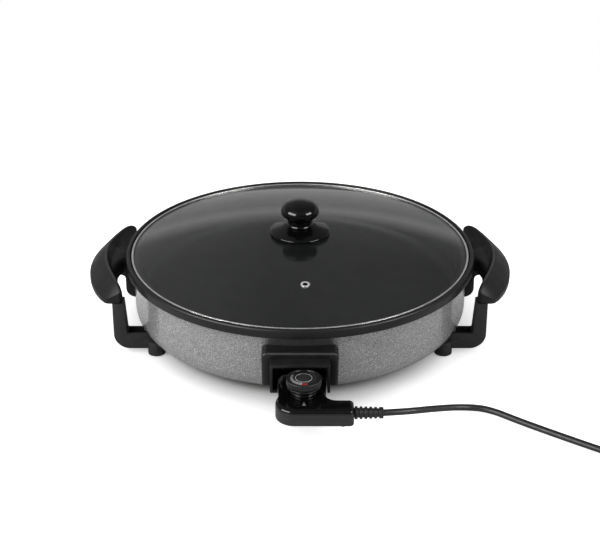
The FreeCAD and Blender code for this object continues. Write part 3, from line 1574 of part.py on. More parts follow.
os.makedirs("parts", exist_ok=True)
for thing in sub_parts:
    shape = thing.Shape
    if shape.isNull() or not shape.isValid() or shape.Volume <= 0:
        raise ValueError(thing.Label + " has no valid solid")
for thing in sub_parts:
    thing.Shape.exportStep("parts/%s.step" % thing.Label)
    box_size = thing.Shape.optimalBoundingBox(False)
    print("%-24s %2d solids, x %7.1f %7.1f, y %7.1f %7.1f, z %6.1f %6.1f" % (
        thing.Label, len(thing.Shape.Solids), box_size.XMin, box_size.XMax,
        box_size.YMin, box_size.YMax, box_size.ZMin, box_size.ZMax))
print(len(sub_parts), "sub-parts")
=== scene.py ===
"""A round electric grill pan with its glass lid, plug-in thermostat and cord.

Sizes are in millimetres about the pan's own axis: x to the right, y away from the viewer, z up from
the table. The pan's axis stands 38.5 mm behind the model's origin.
"""

import json
import math

import bmesh
import bpy
from mathutils import Matrix, Vector

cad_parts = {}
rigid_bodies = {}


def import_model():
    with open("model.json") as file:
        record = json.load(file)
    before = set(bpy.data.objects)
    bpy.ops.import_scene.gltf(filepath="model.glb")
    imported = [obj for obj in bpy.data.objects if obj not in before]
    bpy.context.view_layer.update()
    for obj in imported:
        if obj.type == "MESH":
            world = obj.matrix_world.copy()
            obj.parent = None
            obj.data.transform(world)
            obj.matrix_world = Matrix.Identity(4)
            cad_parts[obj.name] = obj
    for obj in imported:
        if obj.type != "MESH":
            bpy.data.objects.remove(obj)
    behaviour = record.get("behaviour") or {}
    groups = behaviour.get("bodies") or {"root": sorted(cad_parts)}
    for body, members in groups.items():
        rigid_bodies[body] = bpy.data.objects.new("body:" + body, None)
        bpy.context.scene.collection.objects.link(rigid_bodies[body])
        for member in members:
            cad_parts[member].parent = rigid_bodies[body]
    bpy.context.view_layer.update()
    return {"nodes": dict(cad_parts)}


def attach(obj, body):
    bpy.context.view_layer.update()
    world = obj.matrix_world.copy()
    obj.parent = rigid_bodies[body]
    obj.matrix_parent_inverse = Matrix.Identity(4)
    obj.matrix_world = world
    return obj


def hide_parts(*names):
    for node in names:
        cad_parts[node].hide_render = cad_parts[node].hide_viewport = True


for leftover in list(bpy.data.objects):
    bpy.data.objects.remove(leftover)

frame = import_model()

MM = 0.001
AXIS = Vector((0, 38.5, 0))


def place(x, y, z):
    """A point about the pan's axis, in metres in the model's frame."""
    return (Vector((x, y, z)) + AXIS) / 1000


# Camera, fitted to the photograph

LENS = 90
CAMERA_SPOT = (0, -1.6206, 0.8809)
CAMERA_TILT = 63.43


def camera_in_front():
    view = bpy.data.cameras.new("product_camera")
    view.lens = LENS
    view.sensor_width = 36
    camera = bpy.data.objects.new("product_camera", view)
    camera.location = CAMERA_SPOT
    camera.rotation_euler = (math.radians(CAMERA_TILT), 0, 0)
    bpy.context.scene.collection.objects.link(camera)
    bpy.context.scene.camera = camera
    bpy.context.scene.view_settings.view_transform = "Standard"


camera_in_front()


# The cord's line. Its first points follow the photograph, and the rest is wound up for storage.

CORD = 7.5
CORD_ROUTE = [
    (90, -275, 28.5),
    (115, -271.5, 27.8),
    (144.9, -248.5, 17.2),
    (179.5, -224.7, 5.2),
    (209.4, -225.8, 3.75),
    (243, -253.8, 3.75),
    (291, -289, 3.75),
    (331, -317.2, 3.75),
]
CORD_TAIL = [
    (441.5, -297.5, 12.0),
    (452.5, -262, 16.5),
    (456.5, -232.5, 18.5),
]

# The coil: its outermost radius, and in degrees where it starts, how far it winds in and out again,
# the stretch over which it climbs onto itself, and the step from point to point.
COIL_CENTRE = (389.2, -298.1)
COIL_OUTSIDE = 46.25
COIL_START = 242
COIL_HALF = 585
COIL_CLIMB = 90
COIL_STEP = 22.5
COIL_LAYER = CORD + 0.15


def coil_points():
    """A flat spiral inwards on the table, then a second one outwards on top of it."""
    points = []
    for turn in range(int(COIL_HALF * 2 / COIL_STEP) + 1):
        gone = turn * COIL_STEP
        inwards = min(gone, COIL_HALF * 2 - gone)
        radius = COIL_OUTSIDE - CORD * inwards / 360
        climb = min(max((gone - COIL_HALF + COIL_CLIMB / 2) / COIL_CLIMB, 0), 1)
        angle = math.radians(COIL_START + gone)
        points.append((COIL_CENTRE[0] + radius * math.cos(angle),
                       COIL_CENTRE[1] + radius * math.sin(angle),
                       CORD / 2 + COIL_LAYER * climb))
    return points


def mains_cord():
    """One round curve from the strain relief through the coil to the plug."""
    line = bpy.data.curves.new("mains_cord", "CURVE")
    line.dimensions = "3D"
    spline = line.splines.new("NURBS")
    route = CORD_ROUTE + coil_points() + CORD_TAIL
    spline.points.add(len(route) - 1)
    for point, spot in zip(spline.points, route):
        point.co = (*place(*spot), 1)
    spline.order_u = 3
    spline.use_endpoint_u = True
    spline.resolution_u = 8
    line.bevel_depth = CORD / 2000
    line.bevel_resolution = 6
    line.use_fill_caps = True
    cord = bpy.data.objects.new("mains_cord", line)
    bpy.context.scene.collection.objects.link(cord)
    return cord


cord = mains_cord()


# Shaping: outlines, turned pieces, slabs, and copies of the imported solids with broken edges

def rounded(corners, step=10):
    """A closed outline's points. Its corners are (a, b) or, for an arc, (a, b, radius).

    An arc has a point about every step degrees."""
    spots = [(Vector(corner[:2]), corner[2] if len(corner) > 2 else 0) for corner in corners]
    points = []
    for i, (spot, radius) in enumerate(spots):
        if radius <= 0:
            points.append(spot)
            continue
        into = (spots[i - 1][0] - spot).normalized()
        out = (spots[(i + 1) % len(spots)][0] - spot).normalized()
        opening = into.angle(out)
        reach = radius / math.tan(opening / 2)
        centre = spot + (into + out).normalized() * (radius / math.sin(opening / 2))
        first = spot + into * reach - centre
        sweep = first.angle_signed(spot + out * reach - centre)
        count = max(2, round(abs(math.degrees(sweep)) / step))
        for j in range(count + 1):
            points.append(centre + Matrix.Rotation(-sweep * j / count, 2) @ first)
    return points


def inset(points, amount):
    """The same outline, drawn in by an amount; points run counter-clockwise."""
    moved = []
    for i, point in enumerate(points):
        one = point - points[i - 1]
        two = points[(i + 1) % len(points)] - point
        one_in = Vector((-one.y, one.x)).normalized()
        two_in = Vector((-two.y, two.x)).normalized()
        moved.append(point + (one_in + two_in) / (1 + one_in.dot(two_in)) * amount)
    return moved


def new_piece(name, mesh):
    piece = bpy.data.objects.new(name, mesh)
    bpy.context.scene.collection.objects.link(piece)
    return piece


def shade(mesh, angle):
    """Smooth everywhere except across edges sharper than the angle."""
    for face in mesh.polygons:
        face.use_smooth = True
    mesh.set_sharp_from_angle(angle=math.radians(angle))


def to_piece(name, work, angle=32, outwards=True):
    """A finished object from a bmesh whose points are in metres in the model's frame."""
    if outwards:
        bmesh.ops.recalc_face_normals(work, faces=work.faces)
    mesh = bpy.data.meshes.new(name)
    work.to_mesh(mesh)
    work.free()
    shade(mesh, angle)
    return new_piece(name, mesh)


def skin(work, rings, looped=False):
    """Faces from each ring of points to the next, then back to the first or over both ends."""
    for one, two in zip(rings, rings[1:] + rings[:1] if looped else rings[1:]):
        for j in range(len(one)):
            k = (j + 1) % len(one)
            work.faces.new((one[j], one[k], two[k], two[j]))
    if not looped:
        work.faces.new(rings[0][::-1])
        work.faces.new(rings[-1])


def turned_ring(work, profile, count, stand):
    """Adds a closed profile, (radius, height) in millimetres, turned about the z axis of stand."""
    rings = []
    for point in profile:
        if point[0] < 1e-4:
            rings.append([work.verts.new(stand @ Vector((0, 0, point[1])))])
            continue
        ring = []
        for j in range(count):
            angle = 2 * math.pi * j / count
            ring.append(work.verts.new(stand @ Vector((point[0] * math.cos(angle),
                                                       point[0] * math.sin(angle), point[1]))))
        rings.append(ring)
    for one, two in zip(rings, rings[1:] + rings[:1]):
        if len(one) == 1 and len(two) == 1:
            continue
        for j in range(count):
            k = (j + 1) % count
            corners = [one[j % len(one)], two[j % len(two)], two[k % len(two)], one[k % len(one)]]
            unique = list(dict.fromkeys(corners))
            if len(unique) > 2:
                work.faces.new(unique)


def standing(x=0, y=0, z=0, turn=None):
    """The place and direction of a turned piece's own axis."""
    stand = Matrix.Translation(place(x, y, z)) @ Matrix.Scale(MM, 4)
    return stand @ turn.to_4x4() if turn else stand


def turned(name, corners, stand, count, step=10):
    """A turned piece of count sides; the arcs of its profile have a point every step degrees."""
    work = bmesh.new()
    turned_ring(work, rounded(corners, step), count, stand)
    return to_piece(name, work)


def slab(name, corners, levels, back):
    """An upright slab from its outline seen from above and its levels, each (inset, height).

    What lies behind the back is cut off flat. A support loop just inside each end keeps the flat ends
    flat under smooth shading."""
    points = rounded(corners, 7.5)
    levels = [(levels[0][0] + 0.5, levels[0][1])] + levels + [(levels[-1][0] + 0.5, levels[-1][1])]
    work = bmesh.new()
    skin(work, [[work.verts.new(place(p.x, p.y, height)) for p in inset(points, amount)]
                for amount, height in levels])
    everything = work.verts[:] + work.edges[:] + work.faces[:]
    cut = bmesh.ops.bisect_plane(work, geom=everything, plane_co=place(0, back, 0),
                                 plane_no=(0, 1, 0), clear_outer=True)
    edges = [item for item in cut["geom_cut"] if isinstance(item, bmesh.types.BMEdge)]
    bmesh.ops.holes_fill(work, edges=edges, sides=0)
    return to_piece(name, work, 40)


def edge_round(low, high, foot, top, step=15):
    """Slab levels from low to high, whose lower and upper edges have the radii foot and top."""
    angles = [math.radians(degrees) for degrees in range(0, 91, step)]
    lower = [(foot * (1 - math.cos(angle)), low + foot * (1 - math.sin(angle)))
             for angle in reversed(angles)]
    upper = [(top * (1 - math.cos(angle)), high - top * (1 - math.sin(angle))) for angle in angles]
    return lower + upper


def merged(work, distance, flatness):
    """Joins doubled points, and faces that lie within so many degrees of flat."""
    bmesh.ops.remove_doubles(work, verts=work.verts, dist=distance)
    bmesh.ops.dissolve_limit(work, angle_limit=math.radians(flatness), verts=work.verts,
                             edges=work.edges)


def copied(name, node):
    """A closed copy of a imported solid's mesh, its loose triangles joined into faces."""
    work = bmesh.new()
    work.from_mesh(frame["nodes"][node].data)
    merged(work, 2e-6, 0.6)
    return to_piece(name, work, outwards=False)


def apply_modifiers(piece):
    """Leaves the piece as a plain mesh with its modifiers worked in."""
    evaluated = piece.evaluated_get(bpy.context.evaluated_depsgraph_get())
    mesh = bpy.data.meshes.new_from_object(evaluated)
    old = piece.data
    piece.modifiers.clear()
    piece.data = mesh
    bpy.data.meshes.remove(old)
    mesh.name = piece.name


def combine(piece, operation, other):
    """Adds another closed shape to the piece or takes it away, and removes the other."""
    step = piece.modifiers.new("combine", "BOOLEAN")
    step.operation = operation
    step.solver = "EXACT"
    step.object = other
    apply_modifiers(piece)
    bpy.data.objects.remove(other)


def break_edges(piece, width, above, smooth):
    """Bevels the edges that are sharper than above, in degrees, by a width."""
    bevel = piece.modifiers.new("broken_edges", "BEVEL")
    bevel.width = width / 1000
    bevel.segments = 2
    bevel.limit_method = "ANGLE"
    bevel.angle_limit = math.radians(above)
    apply_modifiers(piece)
    shade(piece.data, smooth)
    return piece


def moulding(name, node, width):
    """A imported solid's copy with its moulded edges slightly broken."""
    return break_edges(copied(name, node), width, 38, 40)


def grown_moulding(name, node, addition):
    """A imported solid's copy joined with a closed shape that grows out of it, its edges broken."""
    piece = copied(name, node)
    combine(piece, "UNION", to_piece(name + "_addition", addition))
    work = bmesh.new()
    work.from_mesh(piece.data)
    merged(work, 2e-5, 1.5)
    work.to_mesh(piece.data)
    work.free()
    return break_edges(piece, 0.7, 20, 30)


# Node trees

class Nodes:
    """A node tree with short calls for the nodes that this script needs."""

    def __init__(self, tree):
        self.tree = tree
        tree.nodes.clear()

    def node(self, kind, settings=None, **inputs):
        """A new node. The name of an input has underscores here for its spaces."""
        node = self.tree.nodes.new(kind)
        for name, value in (settings or {}).items():
            setattr(node, name, value)
        for name, value in inputs.items():
            self.feed(node.inputs[name.replace("_", " ")], value)
        return node

    def feed(self, socket, value):
        """Links a socket to a node, an output or a list of them, or sets it to a plain value."""
        for item in value if isinstance(value, list) else [value]:
            if isinstance(item, bpy.types.Node):
                item = item.outputs[0]
            if isinstance(item, bpy.types.NodeSocket):
                self.tree.links.new(item, socket)
            else:
                socket.default_value = item

    def in_turn(self, kind, settings, *values):
        """A new node whose first inputs take the values in turn."""
        node = self.node(kind, settings)
        for socket, value in zip(node.inputs, values):
            self.feed(socket, value)
        return node

    def number(self, operation, *values):
        return self.in_turn("ShaderNodeMath", {"operation": operation}, *values).outputs[0]

    def vector(self, operation, *values):
        node = self.in_turn("ShaderNodeVectorMath", {"operation": operation}, *values)
        return node.outputs["Value" if operation in ("LENGTH", "DOT_PRODUCT") else "Vector"]

    def product(self, first, *others):
        for other in others:
            first = self.number("MULTIPLY", first, other)
        return first

    def apart(self, vector):
        """A vector's X, Y and Z."""
        return self.node("ShaderNodeSeparateXYZ", Vector=vector).outputs

    def between(self, value, low, high, to_low=0.0, to_high=1.0):
        """Where a value lies from low to high, carried over to another range and held at its ends."""
        return self.node("ShaderNodeMapRange", Value=value, From_Min=low, From_Max=high,
                         To_Min=to_low, To_Max=to_high).outputs["Result"]

    def mix(self, share, one, two):
        """A colour that goes from one to two with the share."""
        return self.node("ShaderNodeMix", {"data_type": "RGBA"}, Factor=share, A=one,
                         B=two).outputs["Result"]

    def blend(self, share, one, two):
        """A shader that goes from one to two with the share."""
        return self.in_turn("ShaderNodeMixShader", None, share, one, two)


class Recipe(Nodes):
    """A Geometry Nodes tree with named inputs for its sizes."""

    def __init__(self, name, **sizes):
        super().__init__(bpy.data.node_groups.new(name, "GeometryNodeTree"))
        face = self.tree.interface
        face.new_socket("Geometry", in_out="INPUT", socket_type="NodeSocketGeometry")
        face.new_socket("Geometry", in_out="OUTPUT", socket_type="NodeSocketGeometry")
        for label, value in sizes.items():
            kind = {int: "Int", float: "Float", tuple: "Vector"}[type(value)]
            socket = face.new_socket(label.replace("_", " "), in_out="INPUT",
                                     socket_type="NodeSocket" + kind)
            socket.default_value = value
        face.new_socket("Material", in_out="INPUT", socket_type="NodeSocketMaterial")
        self.start = self.node("NodeGroupInput")
        self.end = self.node("NodeGroupOutput")

    def size(self, name):
        return self.start.outputs[name]

    def combined(self, x=0.0, y=0.0, z=0.0):
        return self.node("ShaderNodeCombineXYZ", X=x, Y=y, Z=z)

    def level(self, height):
        """How high a point lies, as a share of a height, whichever side of the middle."""
        own = self.apart(self.node("GeometryNodeInputPosition"))["Z"]
        return self.number("DIVIDE", self.number("ABSOLUTE", own), height)

    def slimmed(self, shape, share):
        """The shape with each point drawn in to a share of its distance from the z axis."""
        drawn = self.vector("MULTIPLY", self.node("GeometryNodeInputPosition"),
                            self.combined(share, share, 1.0))
        return self.node("GeometryNodeSetPosition", Geometry=shape, Position=drawn)

    def close(self, shape):
        """Ends the tree: real faces instead of instances, and the material."""
        real = self.node("GeometryNodeRealizeInstances", Geometry=shape)
        coated = self.node("GeometryNodeSetMaterial", Geometry=real, Material=self.size("Material"))
        self.feed(self.end.inputs[0], coated)

    def made(self, name, material, mesh=None, **sizes):
        """A plain mesh piece made by the tree."""
        piece = new_piece(name, mesh or bpy.data.meshes.new(name))
        steps = piece.modifiers.new("recipe", "NODES")
        steps.node_group = self.tree
        given = {label.replace("_", " "): value for label, value in sizes.items()}
        given["Material"] = material
        for item in self.tree.interface.items_tree:
            if item.in_out == "INPUT" and item.name in given:
                steps[item.identifier] = given[item.name]
        apply_modifiers(piece)
        shade(piece.data, 35)
        return piece


class Finish(Nodes):
    """A material with its shader, fed by the pattern calls below."""

    def __init__(self, name):
        self.material = bpy.data.materials.new(name)
        self.material.use_nodes = True
        super().__init__(self.material.node_tree)
        self.shader = self.node("ShaderNodeBsdfPrincipled")
        self.output = self.node("ShaderNodeOutputMaterial", Surface=self.shader)
        self.where = self.node("ShaderNodeTexCoord").outputs["Object"]

    def done(self, base, rough, normal=None, **values):
        """The material, with its colour, roughness, normal and other values fed to its shader."""
        values.update(Base_Color=base, Roughness=rough)
        if normal:
            values["Normal"] = normal
        for name, value in values.items():
            self.feed(self.shader.inputs[name.replace("_", " ")], value)
        return self.material

    def moved(self, stretch, centre=(0, 0, 0), turn=0):
        """Object coordinates, stretched, about a centre and turned in degrees about z."""
        return self.node("ShaderNodeMapping", {"vector_type": "TEXTURE"}, Vector=self.where,
                         Location=centre, Rotation=(0, 0, math.radians(turn)),
                         Scale=stretch).outputs["Vector"]

    def millimetres(self, centre=(0, 0, 0), turn=0):
        """X, Y and Z in millimetres about a centre, turned in degrees about z."""
        return self.apart(self.moved((MM, MM, MM), centre, turn))

    def distance(self, spot):
        """How far a point, given by its parts, lies from the z axis."""
        squares = [self.product(spot[way], spot[way]) for way in ("X", "Y")]
        return self.number("SQRT", self.number("ADD", *squares))

    def bearing(self, spot):
        """Which way a point, given by its parts, lies from the z axis, in degrees from x."""
        return self.number("DIVIDE", self.number("ARCTAN2", spot["Y"], spot["X"]), math.radians(1))

    def within(self, value, middle, half):
        """One where a value is within half of the middle, and nothing elsewhere."""
        off = self.number("ABSOLUTE", self.number("SUBTRACT", value, middle))
        return self.number("LESS_THAN", off, half)

    def noise(self, size, detail, where=None):
        """Soft noise whose blotches are about size millimetres across."""
        return self.node("ShaderNodeTexNoise", Vector=where or self.where, Scale=1000 / size,
                         Detail=detail).outputs["Fac"]

    def patches(self, size, detail, low, high, to_low=0.0, to_high=1.0):
        """Noise with its levels from low to high carried over to another range."""
        return self.between(self.noise(size, detail), low, high, to_low, to_high)

    def edges(self, low=0.52, high=0.62):
        """Where the piece's edges stand out, from how the surface bulges."""
        return self.between(self.node("ShaderNodeNewGeometry").outputs["Pointiness"], low, high)

    def relief(self, height, depth, strength, below=None):
        """Bump whose full height is depth millimetres, on top of another bump."""
        bump = self.node("ShaderNodeBump", Height=height, Distance=depth / 1000, Strength=strength)
        if below:
            self.feed(bump.inputs["Normal"], below)
        return bump.outputs["Normal"]

    def grain(self, size, detail, depth, strength, below=None):
        """Relief made of noise."""
        return self.relief(self.noise(size, detail), depth, strength, below)


# Finishes, the places on the dial and the lid that they need, and the size of a hammered pebble

DIAL_CENTRE = (4, -252.1)
DIAL_TOP = 59
VENT = (6, -124.5)
PEBBLE = 2


def tone(level, warm=0.0):
    """A grey given as it should look on screen, 0 to 255, a little warm or cool."""
    def linear(value):
        share = max(value, 0) / 255
        return share / 12.92 if share <= 0.04045 else ((share + 0.055) / 1.055) ** 2.4
    return (linear(level + warm), linear(level), linear(level - warm), 1)


def hammered_lacquer():
    """Grey hammered lacquer: close pebbles with darker seams, and painted shade on the wall between
    socket box and rim.
    """
    f = Finish("hammered_grey_lacquer")
    drift = f.node("ShaderNodeTexNoise", Vector=f.where, Scale=240, Detail=1)
    shift = f.node("ShaderNodeVectorMath", {"operation": "SCALE"}, Vector=drift.outputs["Color"],
                   Scale=0.0016)
    pebbles = {"Vector": f.vector("ADD", f.where, shift), "Scale": 1000 / PEBBLE}
    seams = f.node("ShaderNodeTexVoronoi", {"feature": "DISTANCE_TO_EDGE"}, **pebbles)
    cells = f.node("ShaderNodeTexVoronoi", {"feature": "F1"}, **pebbles)
    crown = f.between(seams.outputs["Distance"], 0.0, 0.34)
    lightness = f.node("ShaderNodeSeparateColor", Color=cells.outputs["Color"])
    base = f.mix(crown, tone(106), tone(214))
    base = f.mix(f.between(lightness.outputs["Red"], 0, 1, 0.0, 0.6), base, tone(138))
    base = f.mix(f.patches(45, 3, 0.35, 0.7, 0.0, 0.2), base, tone(158))
    # Painted shade: the wall in front, between the socket box and the rim, is darkened towards a near
    # black.
    spot = f.millimetres(place(0, 0, 0))
    beside_box = f.between(f.number("ABSOLUTE", spot["X"]), 34, 45, 1, 0)
    above_box = f.between(spot["Z"], 66, 70)
    painted_shade_above_box = f.product(beside_box, above_box, f.number("LESS_THAN", spot["Y"], 0), 0.85)
    fine = f.grain(0.6, 1, 0.02, 0.4)
    return f.done(f.mix(painted_shade_above_box, base, tone(30)), f.between(crown, 0, 1, 0.55, 0.36),
                  f.relief(crown, 0.12, 0.9, fine), Metallic=0.1, IOR=1.5, Coat_Weight=0.9,
                  Coat_Roughness=0.12, Coat_IOR=1.5, Coat_Normal=f.relief(crown, 0.05, 0.25))


def moulded_skin(f, base, ior, rough=(0.42, 0.56), grain=0.45):
    """The finish's material, with a moulding's uneven gloss, fine grain and slow waves."""
    waves = f.grain(22, 2, 0.12, 0.25)
    return f.done(base, f.patches(16, 4, 0.3, 0.7, *rough), f.grain(grain, 2, 0.03, 0.5, waves),
                  IOR=ior)


def moulded(name, dark, light, edge, grain=0.45, rough=(0.42, 0.56), ior=1.5):
    """Moulded black plastic with pale specks; its edges are painted paler towards the tone edge, a
    painted highlight.
    """
    f = Finish(name)
    base = f.mix(f.patches(28, 4, 0.35, 0.68), tone(dark), tone(light))
    base = f.mix(f.patches(grain * 3, 1, 0.55, 0.75, 0, 0.35), base, tone(light + 8))
    # Paler edges: a painted highlight.
    base = f.mix(f.product(f.edges(), f.patches(6, 3, 0.3, 0.7, 0.2, 0.7)), base, tone(edge))
    return moulded_skin(f, base, ior, rough, grain)


def moulding_with_painted_light(name, dark, light, way, low, above, pale, ior, inward=None):
    """Moulded black plastic, painted paler above a height where its rounded edges face one way: a
    painted highlight.

    Faces that look in towards the pan may get a darker tone: painted shade.
    """
    f = Finish(name)
    base = f.mix(f.patches(28, 4, 0.35, 0.68), tone(dark), tone(light))
    facing = f.node("ShaderNodeNewGeometry").outputs["Normal"]
    spot = f.millimetres()
    # Painted shade on the faces that look in towards the pan.
    if inward:
        outward = f.product(f.apart(facing)["X"], f.number("SIGN", spot["X"]))
        base = f.mix(f.between(outward, -0.3, 0.1), tone(inward), base)
    # Painted highlight on the rounded edges that lean the given way.
    lean = f.vector("DOT_PRODUCT", facing, way)
    painted_highlight = f.product(f.between(lean, low, low + 0.09), f.patches(9, 3, 0.3, 0.6, 0.65, 1.0),
                     f.between(spot["Z"], above, above + 2))
    return moulded_skin(f, f.mix(painted_highlight, base, tone(pale)), ior)


def gloss_black():
    """Polished black: faint haze and a slow ripple in the moulding."""
    f = Finish("gloss_black_moulding")
    base = f.mix(f.patches(20, 4, 0.4, 0.7), tone(10), tone(15))
    base = f.mix(f.product(f.edges(), 0.2), base, tone(30))
    return f.done(base, f.patches(9, 5, 0.35, 0.75, 0.05, 0.13),
                  f.grain(14, 1, 0.03, 0.3, f.grain(0.7, 1, 0.004, 0.25)), IOR=1.4)


def nonstick():
    """Dark nonstick coating with a fine sprayed texture and a few flecks; the rim is painted paler as
    a painted highlight.
    """
    f = Finish("dark_nonstick_coating")
    base = f.mix(f.patches(60, 3, 0.35, 0.65), tone(19, -1), tone(25, -1))
    # Painted highlight: the rim is paler.
    base = f.mix(f.between(f.millimetres()["Z"], 88, 94), base, tone(32))
    base = f.mix(f.product(f.patches(0.9, 2, 0.66, 0.74), 0.5), base, tone(74))
    base = f.mix(f.product(f.edges(0.53, 0.66), 0.35), base, tone(64))
    return f.done(base, f.patches(24, 4, 0.3, 0.7, 0.32, 0.44),
                  f.grain(0.8, 2, 0.02, 0.6, f.grain(7, 2, 0.03, 0.35)), IOR=1.36)


def lid_glass_finish():
    """Clear tempered glass that lets lamp light through to the food."""
    f = Finish("clear_tempered_glass")
    tint = f.mix(f.patches(120, 2, 0.3, 0.7), (0.93, 0.94, 0.95, 1), (0.96, 0.965, 0.97, 1))
    clear = f.node("ShaderNodeBsdfTransparent", Color=(0.93, 0.935, 0.94, 1))
    shadow = f.node("ShaderNodeLightPath").outputs["Is Shadow Ray"]
    f.feed(f.output.inputs["Surface"], f.blend(shadow, f.shader, clear))
    return f.done(tint, f.patches(40, 3, 0.3, 0.8, 0.0, 0.012), f.grain(90, 1, 0.02, 0.15),
                  Transmission_Weight=1.0, IOR=1.46)


def polished(name, dark, light, rough=(0.12, 0.24), lines=14, painted_shade_below=None):
    """Bright metal with slight tarnish and fine upright lines, so many times as long as wide.

    It may be painted dark below a height: painted shade.
    """
    f = Finish(name)
    scratch = f.noise(0.5, 3, f.moved((1, 1, 1 / lines)))
    base = f.mix(f.patches(14, 4, 0.35, 0.7), tone(light, 2), tone(dark, 2))
    # Painted shade below the given height.
    if painted_shade_below:
        base = f.mix(f.between(f.millimetres()["Z"], painted_shade_below, painted_shade_below + 0.5), tone(70), base)
    return f.done(base, f.between(scratch, 0.3, 0.7, *rough), f.relief(scratch, 0.006, 0.4),
                  Metallic=0.75 if painted_shade_below else 1.0)


def eyelet_finish():
    """Bright rolled steel whose bore is painted dark: painted shade."""
    f = Finish("bright_eyelet_steel")
    out = f.distance(f.millimetres(place(*VENT, 100)))
    bright = f.mix(f.patches(3, 4, 0.35, 0.7), tone(240), tone(214))
    # Painted shade: the bore is near black.
    return f.done(f.mix(f.between(out, 2.7, 3.2), tone(14), bright),
                  f.patches(0.5, 3, 0.3, 0.7, 0.3, 0.42), f.grain(0.5, 3, 0.006, 0.4), Metallic=0.45)


def mottled(name, one, two, blotches, gloss, grain, **values):
    """A skin whose blotches go from one colour to two, with uneven gloss and a fine grain.

    Blotches and gloss say what patches takes, and grain what the call of that name takes."""
    f = Finish(name)
    return f.done(f.mix(f.patches(*blotches), one, two), f.patches(*gloss), f.grain(*grain), **values)


def plain_metal(name, dark, light, rough=(0.25, 0.45), warm=0):
    """Pressed or drawn metal with a mottled oxide skin."""
    return mottled(name, tone(light, warm), tone(dark, warm), (7.2, 4, 0.35, 0.7),
                   (1.2, 3, 0.3, 0.7, *rough), (1.2, 3, 0.015, 0.4), Metallic=1.0)


def soft_rubber(name, dark, light, rough=(0.5, 0.7), grain=0.5):
    """Black rubber or cord jacket: soft sheen, fine skin and a little dust."""
    f = Finish(name)
    base = f.mix(f.patches(5, 5, 0.5, 0.8, 0, 0.5), tone(dark), tone(light))
    waves = f.grain(10, 1, 0.08, 0.2)
    return f.done(base, f.patches(8, 3, 0.3, 0.7, *rough), f.grain(grain, 2, 0.02, 0.4, waves),
                  IOR=1.5)


def dial_spot(f, degrees):
    """X, Y and Z in millimetres about the middle of the dial's top, X pointing so many degrees on."""
    return f.millimetres(place(*DIAL_CENTRE, DIAL_TOP), degrees)


def dial_marks():
    """Moulded dial top: a widening band with divisions, a thin arc, two dashes and a red mark."""
    f = Finish("printed_dial_top")
    straight = dial_spot(f, 0)
    radius = f.distance(straight)
    on_top = f.number("GREATER_THAN", straight["Z"], -0.6)

    def printed(below, colour, *limits):
        """A colour over what lies below, on the dial's top and within all the limits."""
        return f.mix(f.product(on_top, *limits), below, colour)

    base = f.mix(f.patches(12, 4, 0.35, 0.68), tone(18), tone(25))
    # Paler edges: a painted highlight.
    base = f.mix(f.product(f.edges(), 0.5), base, tone(74))
    angle = f.bearing(dial_spot(f, 206))
    half_width = f.between(angle, -50, 56, 1.3, 2.3)
    off = f.number("ABSOLUTE", f.number("SUBTRACT", radius, 13.2))
    step = f.number("FRACT", f.number("ADD", f.number("DIVIDE", angle, 19), 10.0))
    base = printed(base, f.mix(f.between(angle, -56, 56), tone(98), tone(160)),
                   f.number("LESS_THAN", off, half_width), f.within(angle, 0, 56),
                   f.number("GREATER_THAN", step, 0.14))
    base = printed(base, tone(66), f.within(radius, 12.6, 0.35),
                   f.within(f.bearing(straight), 0, 62))
    from_rear = f.number("ABSOLUTE", f.bearing(dial_spot(f, 90)))
    base = printed(base, tone(150), f.within(radius, 15.6, 0.45), f.within(from_rear, 22, 9))
    base = printed(base, (0.27, 0.022, 0.026, 1), f.within(straight["X"], 1.2, 3.0),
                   f.within(straight["Y"], -14.2, 2.5))
    # Below its top the drum is painted near black: painted shade between its ribs.
    return f.done(f.mix(on_top, tone(9), base), f.patches(6, 4, 0.3, 0.7, 0.34, 0.46),
                  f.grain(0.4, 2, 0.02, 0.4))


def dial_lens():
    """Dark lens in the dial's middle: a pale ring and slanting ribs under a clear skin."""
    f = Finish("ribbed_dial_lens")
    spot = dial_spot(f, 38)
    radius = f.distance(spot)
    ribs = f.product(f.number("PINGPONG", spot["Y"], 1.0), f.number("LESS_THAN", radius, 6.8))
    base = f.mix(ribs, tone(20), tone(62))
    base = f.mix(f.within(radius, 9.0, 0.45), base, tone(168))
    base = f.mix(f.patches(7, 3, 0.4, 0.8, 0, 0.3), base, tone(30))
    return f.done(base, f.patches(5, 3, 0.3, 0.7, 0.16, 0.28), f.relief(ribs, 0.25, 0.5),
                  Coat_Weight=0.4, IOR=1.5)


def wire_jackets():
    """Three cores in their usual colours, told apart by where they lie."""
    f = Finish("coloured_wire_cores")
    along = f.millimetres(place(0, 0, 0))["Y"]
    second = f.number("GREATER_THAN", along, -276.3)
    third = f.number("GREATER_THAN", along, -273.7)
    base = f.mix(second, (0.16, 0.06, 0.02, 1), (0.03, 0.16, 0.03, 1))
    base = f.mix(third, base, (0.02, 0.06, 0.28, 1))
    base = f.mix(f.patches(3, 3, 0.4, 0.8, 0, 0.3), base, tone(60))
    return f.done(base, f.patches(2, 2, 0.3, 0.7, 0.35, 0.5), f.grain(0.8, 2, 0.02, 0.3))


